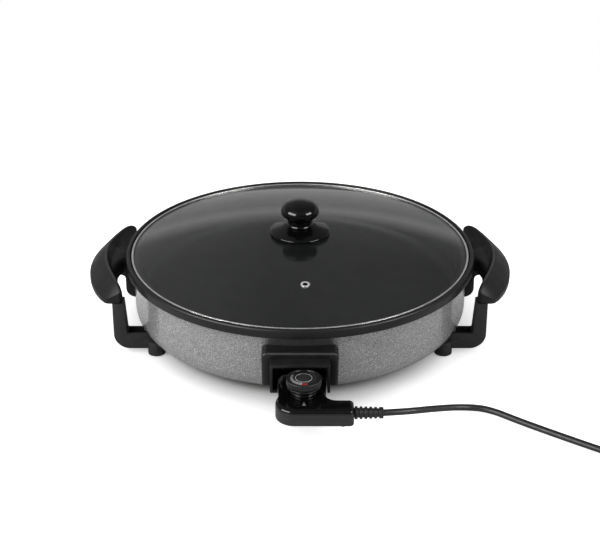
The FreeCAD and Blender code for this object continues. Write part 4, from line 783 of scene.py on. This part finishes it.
FINISHES = {
    "hammered_grey": hammered_lacquer(),
    "nonstick": nonstick(),
    "phenolic": moulded("black_moulded_phenolic", 29, 36, 66, rough=(0.46, 0.58), ior=1.38),
    "box": moulding_with_painted_light("rubbed_box_phenolic", 17, 23, (0.0, -0.8, 0.6), 0.86, 20, 64, 1.42),
    "grip": moulding_with_painted_light("rubbed_grip_phenolic", 32, 39, (0.0, 0.0, 1.0), 0.87, 87.5, 66, 1.28, inward=13),
    "case": moulded("black_moulded_case", 36, 42, 58, grain=0.35, rough=(0.36, 0.48), ior=1.42),
    # The dial's and the neck's pale edge tones paint highlights on their rib and bead crests.
    "dial": moulded("black_moulded_dial", 13, 19, 62, grain=0.3, rough=(0.16, 0.26)),
    "neck": moulded("rubbed_black_neck", 14, 20, 120, grain=0.3, rough=(0.16, 0.26)),
    "dial_top": dial_marks(),
    "dial_lens": dial_lens(),
    "inlay": mottled("pale_pointer_inlay", tone(124), tone(146), (2, 3, 0.35, 0.7),
                     (1.5, 3, 0.3, 0.7, 0.35, 0.5), (0.5, 2, 0.01, 0.3)),
    "socket_dark": moulded("dark_socket_steel", 16, 22, 34),
    "gloss_black": gloss_black(),
    "glass": lid_glass_finish(),
    "polished_steel": polished("polished_lid_steel", 168, 205),
    "band_steel": polished("satin_band_steel", 200, 232, (0.22, 0.34), painted_shade_below=92.9),
    "eyelet_steel": eyelet_finish(),
    "steel": plain_metal("zinc_plated_steel", 140, 178),
    "sheet_steel": plain_metal("dull_sheet_steel", 96, 128, (0.4, 0.6)),
    "element": plain_metal("dark_element_sheath", 58, 84, (0.45, 0.65)),
    "contact": plain_metal("spring_brass_contact", 150, 176, (0.25, 0.4), warm=26),
    "plug_metal": polished("nickel_plug_pins", 160, 196, lines=1),
    "ceramic": mottled("fired_ceramic", tone(226, 4), tone(196, 8), (3, 5, 0.4, 0.7),
                       (2, 3, 0.3, 0.7, 0.35, 0.6), (0.6, 3, 0.03, 0.5)),
    "silicone": mottled("pale_silicone", tone(150, 3), tone(170, 2), (4, 3, 0.3, 0.7),
                        (2, 3, 0.3, 0.7, 0.35, 0.5), (1.5, 2, 0.02, 0.3), Subsurface_Weight=0.2),
    "rubber": soft_rubber("black_foot_rubber", 30, 44),
    "relief": soft_rubber("black_relief_rubber", 17, 25, (0.42, 0.56)),
    "cord": soft_rubber("black_cord_jacket", 30, 38, (0.36, 0.5), 0.7),
    "wires": wire_jackets(),
}


def finished(piece, body, slot, finish, *nodes):
    """Gives a piece its finish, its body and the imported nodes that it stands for."""
    piece.data.materials.clear()
    piece.data.materials.append(FINISHES[finish])
    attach(piece, body)
    if nodes:
        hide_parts(*nodes)
    return piece


# Pan

def pan_casting():
    """Cast pan: floor, wall, ledge for the lid and rolled rim."""
    return turned("pan_casting", [
        (0, 34.5), (199, 34.5, 14.7), (199, 85.8, 0.6), (209.5, 85.8, 0.4), (209.5, 83.5, 0.5),
        (212, 83.5, 0.9), (212, 95, 3.2), (207.2, 95, 1.3), (207.2, 88.4, 0.5), (196.3, 88.4, 1.2),
        (196.3, 39, 12), (0, 39),
    ], standing(), 256, 9)


def hammered_shell():
    """Pressed shell with its rounded bottom corner."""
    return turned("hammered_shell", [
        (203, 85.8, 0.4), (201.6, 85.8, 0.4), (201.6, 8.8, 23.6), (168, 8.8, 0.5), (168, 7.4, 0.5),
        (203, 7.4, 25),
    ], standing(), 256, 6)


finished(pan_casting(), "pan", "nonstick", "nonstick", "inner_pan")
finished(hammered_shell(), "pan", "hammered_grey", "hammered_grey", "outer_shell")


FOOT = (171.03, 92)
GRIP_HALF = 57

# The scoop at a grip's stay, in steps outwards: how far out, its half width and its underside. Its
# deck has one height in the middle and one thickness at both edges. Where the deck comes near the
# grip's inner slope the two blend, up to a limit. Over and under are its points across.
SCOOP_STEPS = [
    (212.5, 16.4, 73.4), (213.5, 16.8, 73.2), (215, 18.4, 72.4), (217, 22, 71.4), (219, 27.5, 70.3),
    (221, 34, 69.2), (223, 39, 68.4), (225, 41.5, 68), (227, 40, 67.6), (229, 34, 67.6),
    (231, 25.5, 67.6), (233, 12.5, 67.6),
]
SCOOP_DECK = 87
SCOOP_EDGE = 2.4
SCOOP_BLEND = 6
SCOOP_LIMIT = 90.4
SCOOP_OVER = 40
SCOOP_UNDER = 12


def inner_slope(x, y):
    """Height of a grip's inner slope, which rises from its curved inner edge to its ridge."""
    share = abs(y) / GRIP_HALF
    inner = 222 - 4.6 * share ** 2.8
    ridge = 236.2 - 12.2 * share ** 1.95
    return 67.3 + (x - inner) / (ridge - inner) * (27.7 - 0.8 * share ** 2)


def scoop_top(x, y, half, low):
    """Height of the scoop over a point, given its half width and its underside there."""
    edge = low + SCOOP_EDGE
    deck = edge + (SCOOP_DECK - edge) * (1 - abs(y / half) ** 5)
    slope = inner_slope(x, y)
    near = max(SCOOP_BLEND - abs(deck - slope), 0) / SCOOP_BLEND
    return min(max(deck, slope) + near * near * 1.5 - 0.5, SCOOP_LIMIT)


def stay_scoop(way):
    """Scoop that flows from a grip's inner slope down to its stay at the rim; way is -1 or 1."""
    work = bmesh.new()
    rings = []
    for x, half, low in SCOOP_STEPS:
        over = [half * (1 - 2 * k / (SCOOP_OVER - 1)) for k in range(SCOOP_OVER)]
        under = [half * (2 * k / (SCOOP_UNDER - 1) - 1) for k in range(SCOOP_UNDER)]
        spots = [(y, scoop_top(x, y, half, low)) for y in over] + [(y, low) for y in under]
        rings.append([work.verts.new(place(x * way, y, z)) for y, z in spots])
    skin(work, rings)
    return work


def foot_pad(name, x, y):
    return turned(name, [
        (0, 0.5), (3, 0.5), (4.2, 0, 0.3), (8.5, 0, 0.9), (8.5, 3), (0, 3),
    ], standing(x, y), 48)


for side, x_way in (("left", -1), ("right", 1)):
    finished(grown_moulding("crescent_grip_" + side, "grip_" + side, stay_scoop(x_way)),
             "pan", "black_phenolic", "grip", "grip_" + side)
    for end, y_way in (("front", -1), ("rear", 1)):
        corner = end + "_" + side
        finished(moulding("leg_and_foot_" + corner, "leg_" + corner, 0.6),
                 "pan", "black_phenolic", "phenolic", "leg_" + corner)
        finished(foot_pad("rubber_pad_" + corner, FOOT[0] * x_way, FOOT[1] * y_way),
                 "pan", "rubber", "rubber", "foot_pad_" + corner)

finished(moulding("socket_box", "socket_housing", 0.5), "pan", "black_phenolic", "box",
         "socket_housing")
finished(moulding("socket_frame", "socket_collar", 0.9), "pan", "black_phenolic", "box",
         "socket_collar")


# Lid

DOME = 879.17
DOME_TOP = 116.4
GLASS_THICK = 3.2
GLASS_RADIUS = 203.6
KNOB_HOLE = 4
GLASS_STEPS = 44


def dome_height(radius, below=0.0):
    """Height of the dome over a radius, so far below its upper face."""
    return DOME_TOP - DOME + math.sqrt((DOME - below) ** 2 - radius ** 2)


def vent_stand():
    """The eyelet's own axis, square to the dome, with its zero on the glass's upper face."""
    lean = Matrix.Rotation(math.asin(-VENT[1] / DOME), 3, "X")
    return standing(*VENT, dome_height(math.hypot(*VENT)), lean)


def domed_glass():
    """Shallow glass dome with the knob's hole and a hole for the eyelet."""
    radii = [KNOB_HOLE + (GLASS_RADIUS - KNOB_HOLE) * k / GLASS_STEPS for k in range(GLASS_STEPS + 1)]
    upper = [Vector((r, dome_height(r))) for r in radii]
    lower = [Vector((r, dome_height(r, GLASS_THICK))) for r in radii]
    work = bmesh.new()
    turned_ring(work, upper + lower[::-1], 224, standing())
    glass = to_piece("domed_glass", work)
    drill = bmesh.new()
    turned_ring(drill, rounded([(0, -9), (3.4, -9), (3.4, 9), (0, 9)]), 48, vent_stand())
    combine(glass, "DIFFERENCE", to_piece("glass_drill", drill))
    shade(glass.data, 40)
    return glass


GLASS = finished(domed_glass(), "lid", "glass", "glass", "lid_glass")
finished(turned("lid_steel_band", [
    (202.4, 88.5, 0.6), (206, 88.5, 1.0), (206, 91.9, 0.5), (205.5, 92.5, 0.2), (205.2, 93.8, 0.5),
    (203.1, 93.8, 0.6), (202.9, 92.6, 0.2), (202.4, 92.6, 0.1),
], standing(), 256, 12), "lid", "polished_steel", "band_steel", "lid_band")
finished(turned("rolled_vent_eyelet", [
    (2.5, -4.1, 0.3), (4.6, -4.1, 0.3), (4.6, -3.3), (3.4, -3.3), (3.4, 0.12), (5.6, 0.12, 0.3),
    (5.3, 0.9, 0.4), (3.6, 0.92, 0.5), (2.5, 0.5, 0.5),
], vent_stand(), 64, 15), "lid", "polished_steel", "eyelet_steel", "vent_eyelet")
finished(turned("knob_flange_dish", [
    (4, 117), (35.9, 117, 0.8), (37.2, 119.6, 1.9), (23.1, 124.4, 12), (18.1, 126.6), (4, 126.6),
], standing(), 128, 9), "lid", "gloss_black", "gloss_black", "knob_flange")
finished(turned("mushroom_knob", [
    (0, 126.6), (16.6, 126.6, 1), (15.1, 129.1, 2), (15.1, 133.9, 4), (23.2, 142, 5),
    (23.2, 153, 11), (8.4, 156.15, 25), (0, 156.5),
], standing(), 128, 6), "lid", "gloss_black", "gloss_black", "lid_knob")


# Thermostat. The case's outline is carried on behind its flat back, where the slabs are cut.

CASE_OUTLINE = [
    (-24, -218), (-24, -253.5, 10), (-26.8, -263.5, 10), (-26.8, -289, 21), (58.2, -289, 5),
    (58.2, -263.3, 5), (28.6, -263.3, 12), (28.6, -218),
]
CASE_BACK = -230.5
CASE_FOOT = 19
TRAY_TOP = 28
WALL_TOP = 33.8
COVER_TOP = 39

finished(slab("lower_case_tray", CASE_OUTLINE, edge_round(CASE_FOOT, TRAY_TOP, 2.2, 0.3), CASE_BACK),
         "thermostat", "black_phenolic", "case", "thermostat_lower_case")
finished(slab("upper_case_wall", CASE_OUTLINE, edge_round(TRAY_TOP, WALL_TOP, 0.3, 0.25), CASE_BACK),
         "thermostat", "black_phenolic", "case", "thermostat_upper_case")
finished(slab("glossy_case_cover", CASE_OUTLINE, edge_round(WALL_TOP, COVER_TOP, 0.25, 4.6, 9),
              CASE_BACK),
         "thermostat", "gloss_black", "gloss_black", "thermostat_cover")
finished(moulding("plug_in_head", "connector_head", 0.5), "thermostat", "black_phenolic",
         "gloss_black", "connector_head")
finished(turned("dial_base_ring", [
    (3.2, 39), (14, 39, 0.3), (14, 39.8, 0.4), (12, 40.2), (12, 41), (14, 41.4, 0.5),
    (14, 42.6, 0.6), (3.2, 42.6, 0.3),
], standing(*DIAL_CENTRE), 96), "thermostat", "black_phenolic", "gloss_black", "dial_bezel")
finished(turned("dial_stepped_neck", [
    (3, 43), (14.6, 43, 0.6), (14.6, 44.3, 0.6), (12.2, 44.6), (12.2, 45.8), (15.2, 46.1, 0.6),
    (15.2, 47.3, 0.6), (12.6, 47.7), (12.6, 49.4), (3, 49.4),
], standing(*DIAL_CENTRE), 144, 12), "dial", "black_phenolic", "neck")
finished(turned("dial_drum", [
    (3, 49.2), (18.4, 49.2, 0.6), (18.8, 50.3, 0.5), (17.6, 50.9), (17.8, 56.6), (19.2, 57.2, 0.4),
    (19.4, DIAL_TOP, 0.9), (16.6, DIAL_TOP, 0.3), (16.4, 58.7), (9.6, 58.7, 0.3), (9.6, 57.8),
    (3, 57.8),
], standing(*DIAL_CENTRE), 144), "dial", "black_phenolic", "dial_top", "dial_knob")


def side_ribs():
    """Half-round ribs around the dial's drum."""
    r = Recipe("dial_side_ribs", Count=48, Ring_Radius=0.01, Rib_Radius=0.001, Rib_Height=0.005,
               Centre=(0.0, 0.0, 0.0))
    ring = r.node("GeometryNodeMeshCircle", Vertices=r.size("Count"), Radius=r.size("Ring Radius"))
    rib = r.node("GeometryNodeMeshCylinder", {"fill_type": "NGON"}, Vertices=8, Side_Segments=3,
                 Radius=r.size("Rib Radius"), Depth=r.size("Rib Height"))
    level = r.level(r.product(r.size("Rib Height"), 0.5))
    slim = r.number("SUBTRACT", 1.0, r.product(r.number("POWER", level, 3.0), 0.45))
    ribs = r.node("GeometryNodeInstanceOnPoints", Points=ring, Instance=r.slimmed(rib, slim))
    r.close(r.node("GeometryNodeTransform", Geometry=ribs, Translation=r.size("Centre")))
    return r.made("dial_side_ribs", FINISHES["dial"], Count=44, Ring_Radius=0.0182,
                  Rib_Radius=0.0011, Rib_Height=0.0066, Centre=tuple(place(*DIAL_CENTRE, 53.9)))


finished(side_ribs(), "dial", "black_phenolic", "dial")
finished(turned("dial_lens_disc", [
    (0, 57.8), (9.5, 57.8, 0.2), (9.5, 58.75, 0.4), (8.4, 58.75, 0.2), (8.1, 58.4), (0, 58.6),
], standing(*DIAL_CENTRE), 96), "dial", "gloss_black", "dial_lens", "dial_insert")


def pointer_inlay():
    """Small triangle let into the cover in front of the dial."""
    work = bmesh.new()
    corners = [(2.2, -277.6), (6.4, -277.6), (4.3, -269.9)]
    skin(work, [[work.verts.new(place(x, y, z)) for x, y in corners]
                for z in (COVER_TOP - 0.4, COVER_TOP + 0.06)])
    return to_piece("pointer_inlay", work)


finished(pointer_inlay(), "thermostat", "gloss_black", "inlay")

SLEEVE_LONG = 36.8
SLEEVE_RIBS = 7


def relief_sleeve():
    """Ribbed sleeve that tapers towards the cord and ends where the cord comes out."""
    corners = [(0, -5), (5.2, -5, 0.4), (5.2, -2), (5.6, -2)]
    pitch = SLEEVE_LONG / SLEEVE_RIBS
    for i in range(SLEEVE_RIBS):
        core = 5.6 - i * 0.13
        reach = 7.3 - i * 0.17
        start = pitch * i + 0.7
        end = start + pitch * 0.55 if i < SLEEVE_RIBS - 1 else SLEEVE_LONG
        corners += [(core, start, 0.3), (reach, start, 0.7), (reach, end, 0.7), (core, end, 0.3)]
    corners[-1] = (0, SLEEVE_LONG)
    x, y, z = CORD_ROUTE[0]
    stand = standing(x - SLEEVE_LONG, y, z, Matrix.Rotation(math.radians(90), 3, "Y"))
    return turned("ribbed_relief_sleeve", corners, stand, 64, 22.5)


finished(relief_sleeve(), "thermostat", "rubber", "relief", "strain_relief")


# Cord, its tie and its plug

PLUG_TURN = Matrix.Rotation(math.radians(82.3), 3, "Z") @ Matrix.Rotation(math.radians(90), 3, "Y")
TIE_WAY = math.radians(105)


def mains_plug():
    return turned("round_mains_plug", [
        (0, 0), (5, 0, 0.8), (6.5, 22, 1.5), (14.5, 27, 4), (18.5, 44, 5), (18.5, 56, 1.5), (0, 56),
    ], standing(*CORD_TAIL[-1], PLUG_TURN), 96, 9)


def cord_tie():
    """Soft strap around one side of the coil."""
    work = bmesh.new()
    out = Vector((math.cos(TIE_WAY), math.sin(TIE_WAY)))
    along = Vector((-out.y, out.x))
    loop = rounded([(27.5, 0.0, 2.5), (51.5, 0.0, 2.5), (51.5, 16.0, 2.5), (27.5, 16.0, 2.5)], 15)
    rings = []
    for offset, inwards in ((-4.5, 0.4), (-4.0, 0.0), (4.0, 0.0), (4.5, 0.4), (4.5, 0.8), (-4.5, 0.8)):
        ring = []
        for point in inset(loop, inwards):
            flat = Vector(COIL_CENTRE) + out * point.x + along * offset
            ring.append(work.verts.new(place(flat.x, flat.y, point.y)))
        rings.append(ring)
    skin(work, rings, looped=True)
    return to_piece("cord_tie_strap", work, 50)


plug = finished(mains_plug(), "thermostat", "gloss_black", "case", "plug_body")
tie = finished(cord_tie(), "thermostat", "rubber", "rubber")
finished(cord, "thermostat", "cord_black", "cord", "cord_tube", "cord_coil", "cord_tail")


# Screws

def crosshead_recipe():
    """Domed heads with a cross recess and plain shanks, one at each point, along its way."""
    r = Recipe("crosshead_screws", Head_Radius=0.004, Head_Height=0.0024, Shank_Radius=0.002,
               Shank_Length=0.01, Recess_Width=0.001)
    height = r.size("Head Height")
    wide = r.size("Recess Width")
    head = r.node("GeometryNodeMeshCylinder", {"fill_type": "NGON"}, Vertices=28, Side_Segments=6,
                  Radius=r.size("Head Radius"), Depth=height)
    head = r.node("GeometryNodeTransform", Geometry=head,
                  Translation=r.combined(z=r.product(height, -0.5)))
    bulge = r.product(r.number("POWER", r.level(height), 3.0), 0.5)
    head = r.slimmed(head, r.number("SQRT", r.number("SUBTRACT", 1.0, bulge)))
    long = r.product(r.size("Head Radius"), 1.15)
    deep = r.product(height, 1.1)
    head_end = r.combined(z=r.product(height, -1.0))
    arms = []
    for across, along in ((long, wide), (wide, long)):
        arm = r.node("GeometryNodeMeshCube", Size=r.combined(across, along, deep))
        arms.append(r.node("GeometryNodeTransform", Geometry=arm, Translation=head_end))
    cut = r.node("GeometryNodeMeshBoolean", {"operation": "DIFFERENCE", "solver": "EXACT"},
                 Mesh_1=head, Mesh_2=arms)
    shank = r.node("GeometryNodeMeshCone", {"fill_type": "NGON"}, Vertices=16,
                   Radius_Top=r.product(r.size("Shank Radius"), 0.8),
                   Radius_Bottom=r.size("Shank Radius"), Depth=r.size("Shank Length"))
    screw = r.node("GeometryNodeJoinGeometry", Geometry=[cut, shank])
    way = r.node("GeometryNodeInputNamedAttribute", {"data_type": "FLOAT_VECTOR"}, Name="way")
    turn = r.node("FunctionNodeAlignRotationToVector", {"axis": "Z"}, Vector=way)
    r.close(r.node("GeometryNodeInstanceOnPoints", Points=r.size("Geometry"), Instance=screw,
                   Rotation=turn))
    return r


CROSSHEADS = crosshead_recipe()
UP = (0, 0, 1)
BACKWARDS = (0, 1, 0)
SCREW_HEAD_TALL = 2.4


def screws(name, body, node, seats, length, head=3.8, shank=2.0):
    """Screws at seats, each a point under the head and the way the shank points."""
    mesh = bpy.data.meshes.new(name)
    mesh.from_pydata([place(*spot) for spot, _ in seats], [], [])
    way = mesh.attributes.new("way", "FLOAT_VECTOR", "POINT")
    way.data.foreach_set("vector", [part for _, aim in seats for part in aim])
    made = CROSSHEADS.made(name, FINISHES["steel"], mesh, Head_Radius=head / 1000,
                           Head_Height=SCREW_HEAD_TALL / 1000, Shank_Radius=shank / 1000,
                           Shank_Length=length / 1000, Recess_Width=head / 4000)
    finished(made, body, "steel", "steel", node)


def at_corners(x, y, z):
    """Four upright seats, one in each corner."""
    return [((x * x_way, y * y_way, z), UP) for x_way in (-1, 1) for y_way in (-1, 1)]


screws("grip_stay_screws", "pan", "stay_screws",
       [((-211.1, 0, 54), (1, 0, 0)), ((211.1, 0, 54), (-1, 0, 0))], 9.5)
screws("base_plate_screws", "pan", "cover_screws", at_corners(106.1, 106.1, 6.4), 20.1)
screws("leg_foot_screws", "pan", "foot_screws", at_corners(*FOOT, 5.4), 28.1)
screws("socket_box_screws", "pan", "socket_screws",
       [((-23.7, -205.3, 50), BACKWARDS), ((23.7, -205.3, 50), BACKWARDS)], 6.0, head=3.0)
screws("case_bottom_screws", "thermostat", "case_screws",
       [((-17.8, -275, CASE_FOOT), UP), ((46.2, -282.8, CASE_FOOT), UP),
        ((22.6, -236.7, CASE_FOOT), UP)], 12.0, head=2.9, shank=1.5)


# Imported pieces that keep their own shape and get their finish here

KEPT = {
    "sheet_steel": ("bottom_cover", "element_clips", "probe_guide", "glass_washer"),
    "socket_dark": ("pin_carrier",),
    "steel": ("line_pins", "earth_pin", "grip_studs", "knob_screw", "dial_spindle"),
    "element": ("heating_element",),
    "polished_steel": ("probe",),
    "ceramic": ("pin_insulators", "switch_block"),
    "silicone": ("knob_seal",),
    "contact": ("contact_tubes", "earth_tube", "bimetal_strip", "contact_leaf"),
    "wires": ("lead_wires",),
    "plug_metal": ("plug_pins",),
}
for finish, nodes in KEPT.items():
    for node in nodes:
        for material_slot in frame["nodes"][node].material_slots:
            material_slot.material = FINISHES[finish]


# Table, lamps and surroundings

def white_table():
    """A very large pale table that keeps the object's shadow."""
    f = Finish("white_table")
    away = f.vector("LENGTH", f.moved((0.93, 1.03, 1), place(0, 0, 0)))
    across = f.apart(f.where)["X"]

    # Painted shadow: the table's own colour is darker below the object, up to just inside its edge
    cloudy = f.mix(f.patches(400, 2, 0.3, 0.7), (0.86, 0.86, 0.86, 1), (0.88, 0.88, 0.88, 1))
    under = (0.42, 0.41, 0.4, 1)
    f.done(f.mix(f.between(away, 0.165, 0.204), under, cloudy), f.patches(90, 2, 0.3, 0.7, 0.7, 0.8),
           IOR=1.2)

    # A glow around the object for the camera, and one at its sides for its mirror images
    rays = f.node("ShaderNodeLightPath").outputs
    mirrored = rays["Is Glossy Ray"]
    direct = f.number("MAXIMUM", rays["Is Camera Ray"],
                      f.number("MAXIMUM", mirrored, rays["Is Transmission Ray"]))
    looked_at = f.number("SUBTRACT", direct, mirrored)
    ring = f.number("ADD", f.between(away, 0.168, 0.212, 0.0, 0.44),
                    f.between(away, 0.205, 0.26, 0.0, 0.4))
    beside = f.number("ADD", f.between(across, -0.19, -0.26, 0.0, 0.38),
                      f.between(across, 0.19, 0.26, 0.0, 0.12))
    beside = f.product(beside, f.between(away, 0.3, 0.36, 1.0, 0.0))
    glow = f.number("ADD", f.product(looked_at, ring), f.product(mirrored, beside))
    near = f.in_turn("ShaderNodeAddShader", None, f.shader,
                     f.node("ShaderNodeEmission", Strength=glow))

    # Further out, plain white to the camera and dim in mirror images
    plain = f.number("SUBTRACT", direct, f.product(mirrored, 0.82))
    lit = f.blend(f.product(direct, f.between(away, 0.42, 0.8)), near,
                  f.node("ShaderNodeEmission", Strength=plain))
    f.feed(f.output.inputs["Surface"], lit)

    work = bmesh.new()
    bmesh.ops.create_grid(work, x_segments=1, y_segments=1, size=30)
    table = to_piece("white_table", work, outwards=False)
    table.data.materials.append(f.material)


def surroundings():
    """White to the camera and softly lit; reflections see a room, paler and darker by height."""
    world = bpy.data.worlds.new("studio_room")
    bpy.context.scene.world = world
    world.use_nodes = True
    room = Nodes(world.node_tree)
    way = room.apart(room.node("ShaderNodeTexCoord").outputs["Generated"])

    def shades(*steps):
        """Greys by how high a direction points, from the horizon to straight up."""
        ramp = room.in_turn("ShaderNodeValToRGB", None, way["Z"])
        while len(ramp.color_ramp.elements) < len(steps):
            ramp.color_ramp.elements.new(0.5)
        for element, (level, grey) in zip(ramp.color_ramp.elements, steps):
            element.position = level
            element.color = (grey, grey, grey, 1)
        return ramp

    behind = shades((0.0, 0.47), (0.11, 0.38), (0.19, 0.36), (0.25, 0.52), (0.335, 0.19), (0.5, 0.15))
    before = shades((0.0, 0.12), (0.25, 0.14), (0.5, 0.3), (0.8, 0.36), (0.97, 0.14))
    walls = room.mix(room.between(way["Y"], -0.25, 0.2), before, behind)
    walls = room.mix(room.between(way["X"], -0.06, -0.3, 0.0, 0.13), walls, (1, 1, 1, 1))
    reflected = room.node("ShaderNodeBackground", Color=walls)
    soft = room.node("ShaderNodeBackground", Strength=0.58)
    white = room.node("ShaderNodeBackground", Color=(1, 1, 1, 1))
    rays = room.node("ShaderNodeLightPath").outputs
    unseen = room.blend(rays["Is Glossy Ray"], soft, reflected)
    room.node("ShaderNodeOutputWorld", Surface=room.blend(rays["Is Camera Ray"], unseen, white))


def softbox(name, spot, aim, width, height, power, gleam):
    """An area lamp that either lights the surfaces or, for a gleam, shows only in their gloss."""
    light = bpy.data.lights.new(name, "AREA")
    light.shape = "RECTANGLE"
    light.size = width
    light.size_y = height
    light.energy = power
    lamp = bpy.data.objects.new(name, light)
    lamp.location = spot
    lamp.visible_glossy = gleam
    lamp.visible_diffuse = not gleam
    lamp.visible_transmission = False
    if gleam:
        kept_dark = bpy.data.collections.new(name + "_kept_off")
        kept_dark.objects.link(GLASS)
        kept_dark.collection_objects[0].light_linking.link_state = "EXCLUDE"
        lamp.light_linking.receiver_collection = kept_dark
    lamp.rotation_euler = (Vector(aim) - Vector(spot)).to_track_quat("-Z", "Y").to_euler()
    bpy.context.scene.collection.objects.link(lamp)


white_table()
surroundings()
softbox("softbox_overhead", (0.0, 0.6, 2.0), (0, 0.05, 0), 2.0, 1.4, 16, gleam=False)
softbox("softbox_left", (-1.4, -0.9, 1.5), (0, 0, 0.05), 1.1, 0.6, 12, gleam=False)
softbox("softbox_right", (1.4, -0.9, 1.5), (0, 0, 0.05), 0.9, 0.6, 3.5, gleam=False)
softbox("gleam_left", (-1.5, -1.12, 1.0), (0, 0, 0.05), 1.8, 0.85, 54, gleam=True)
softbox("gleam_right", (1.58, -0.98, 1.05), (0, 0, 0.05), 1.2, 0.75, 31, gleam=True)
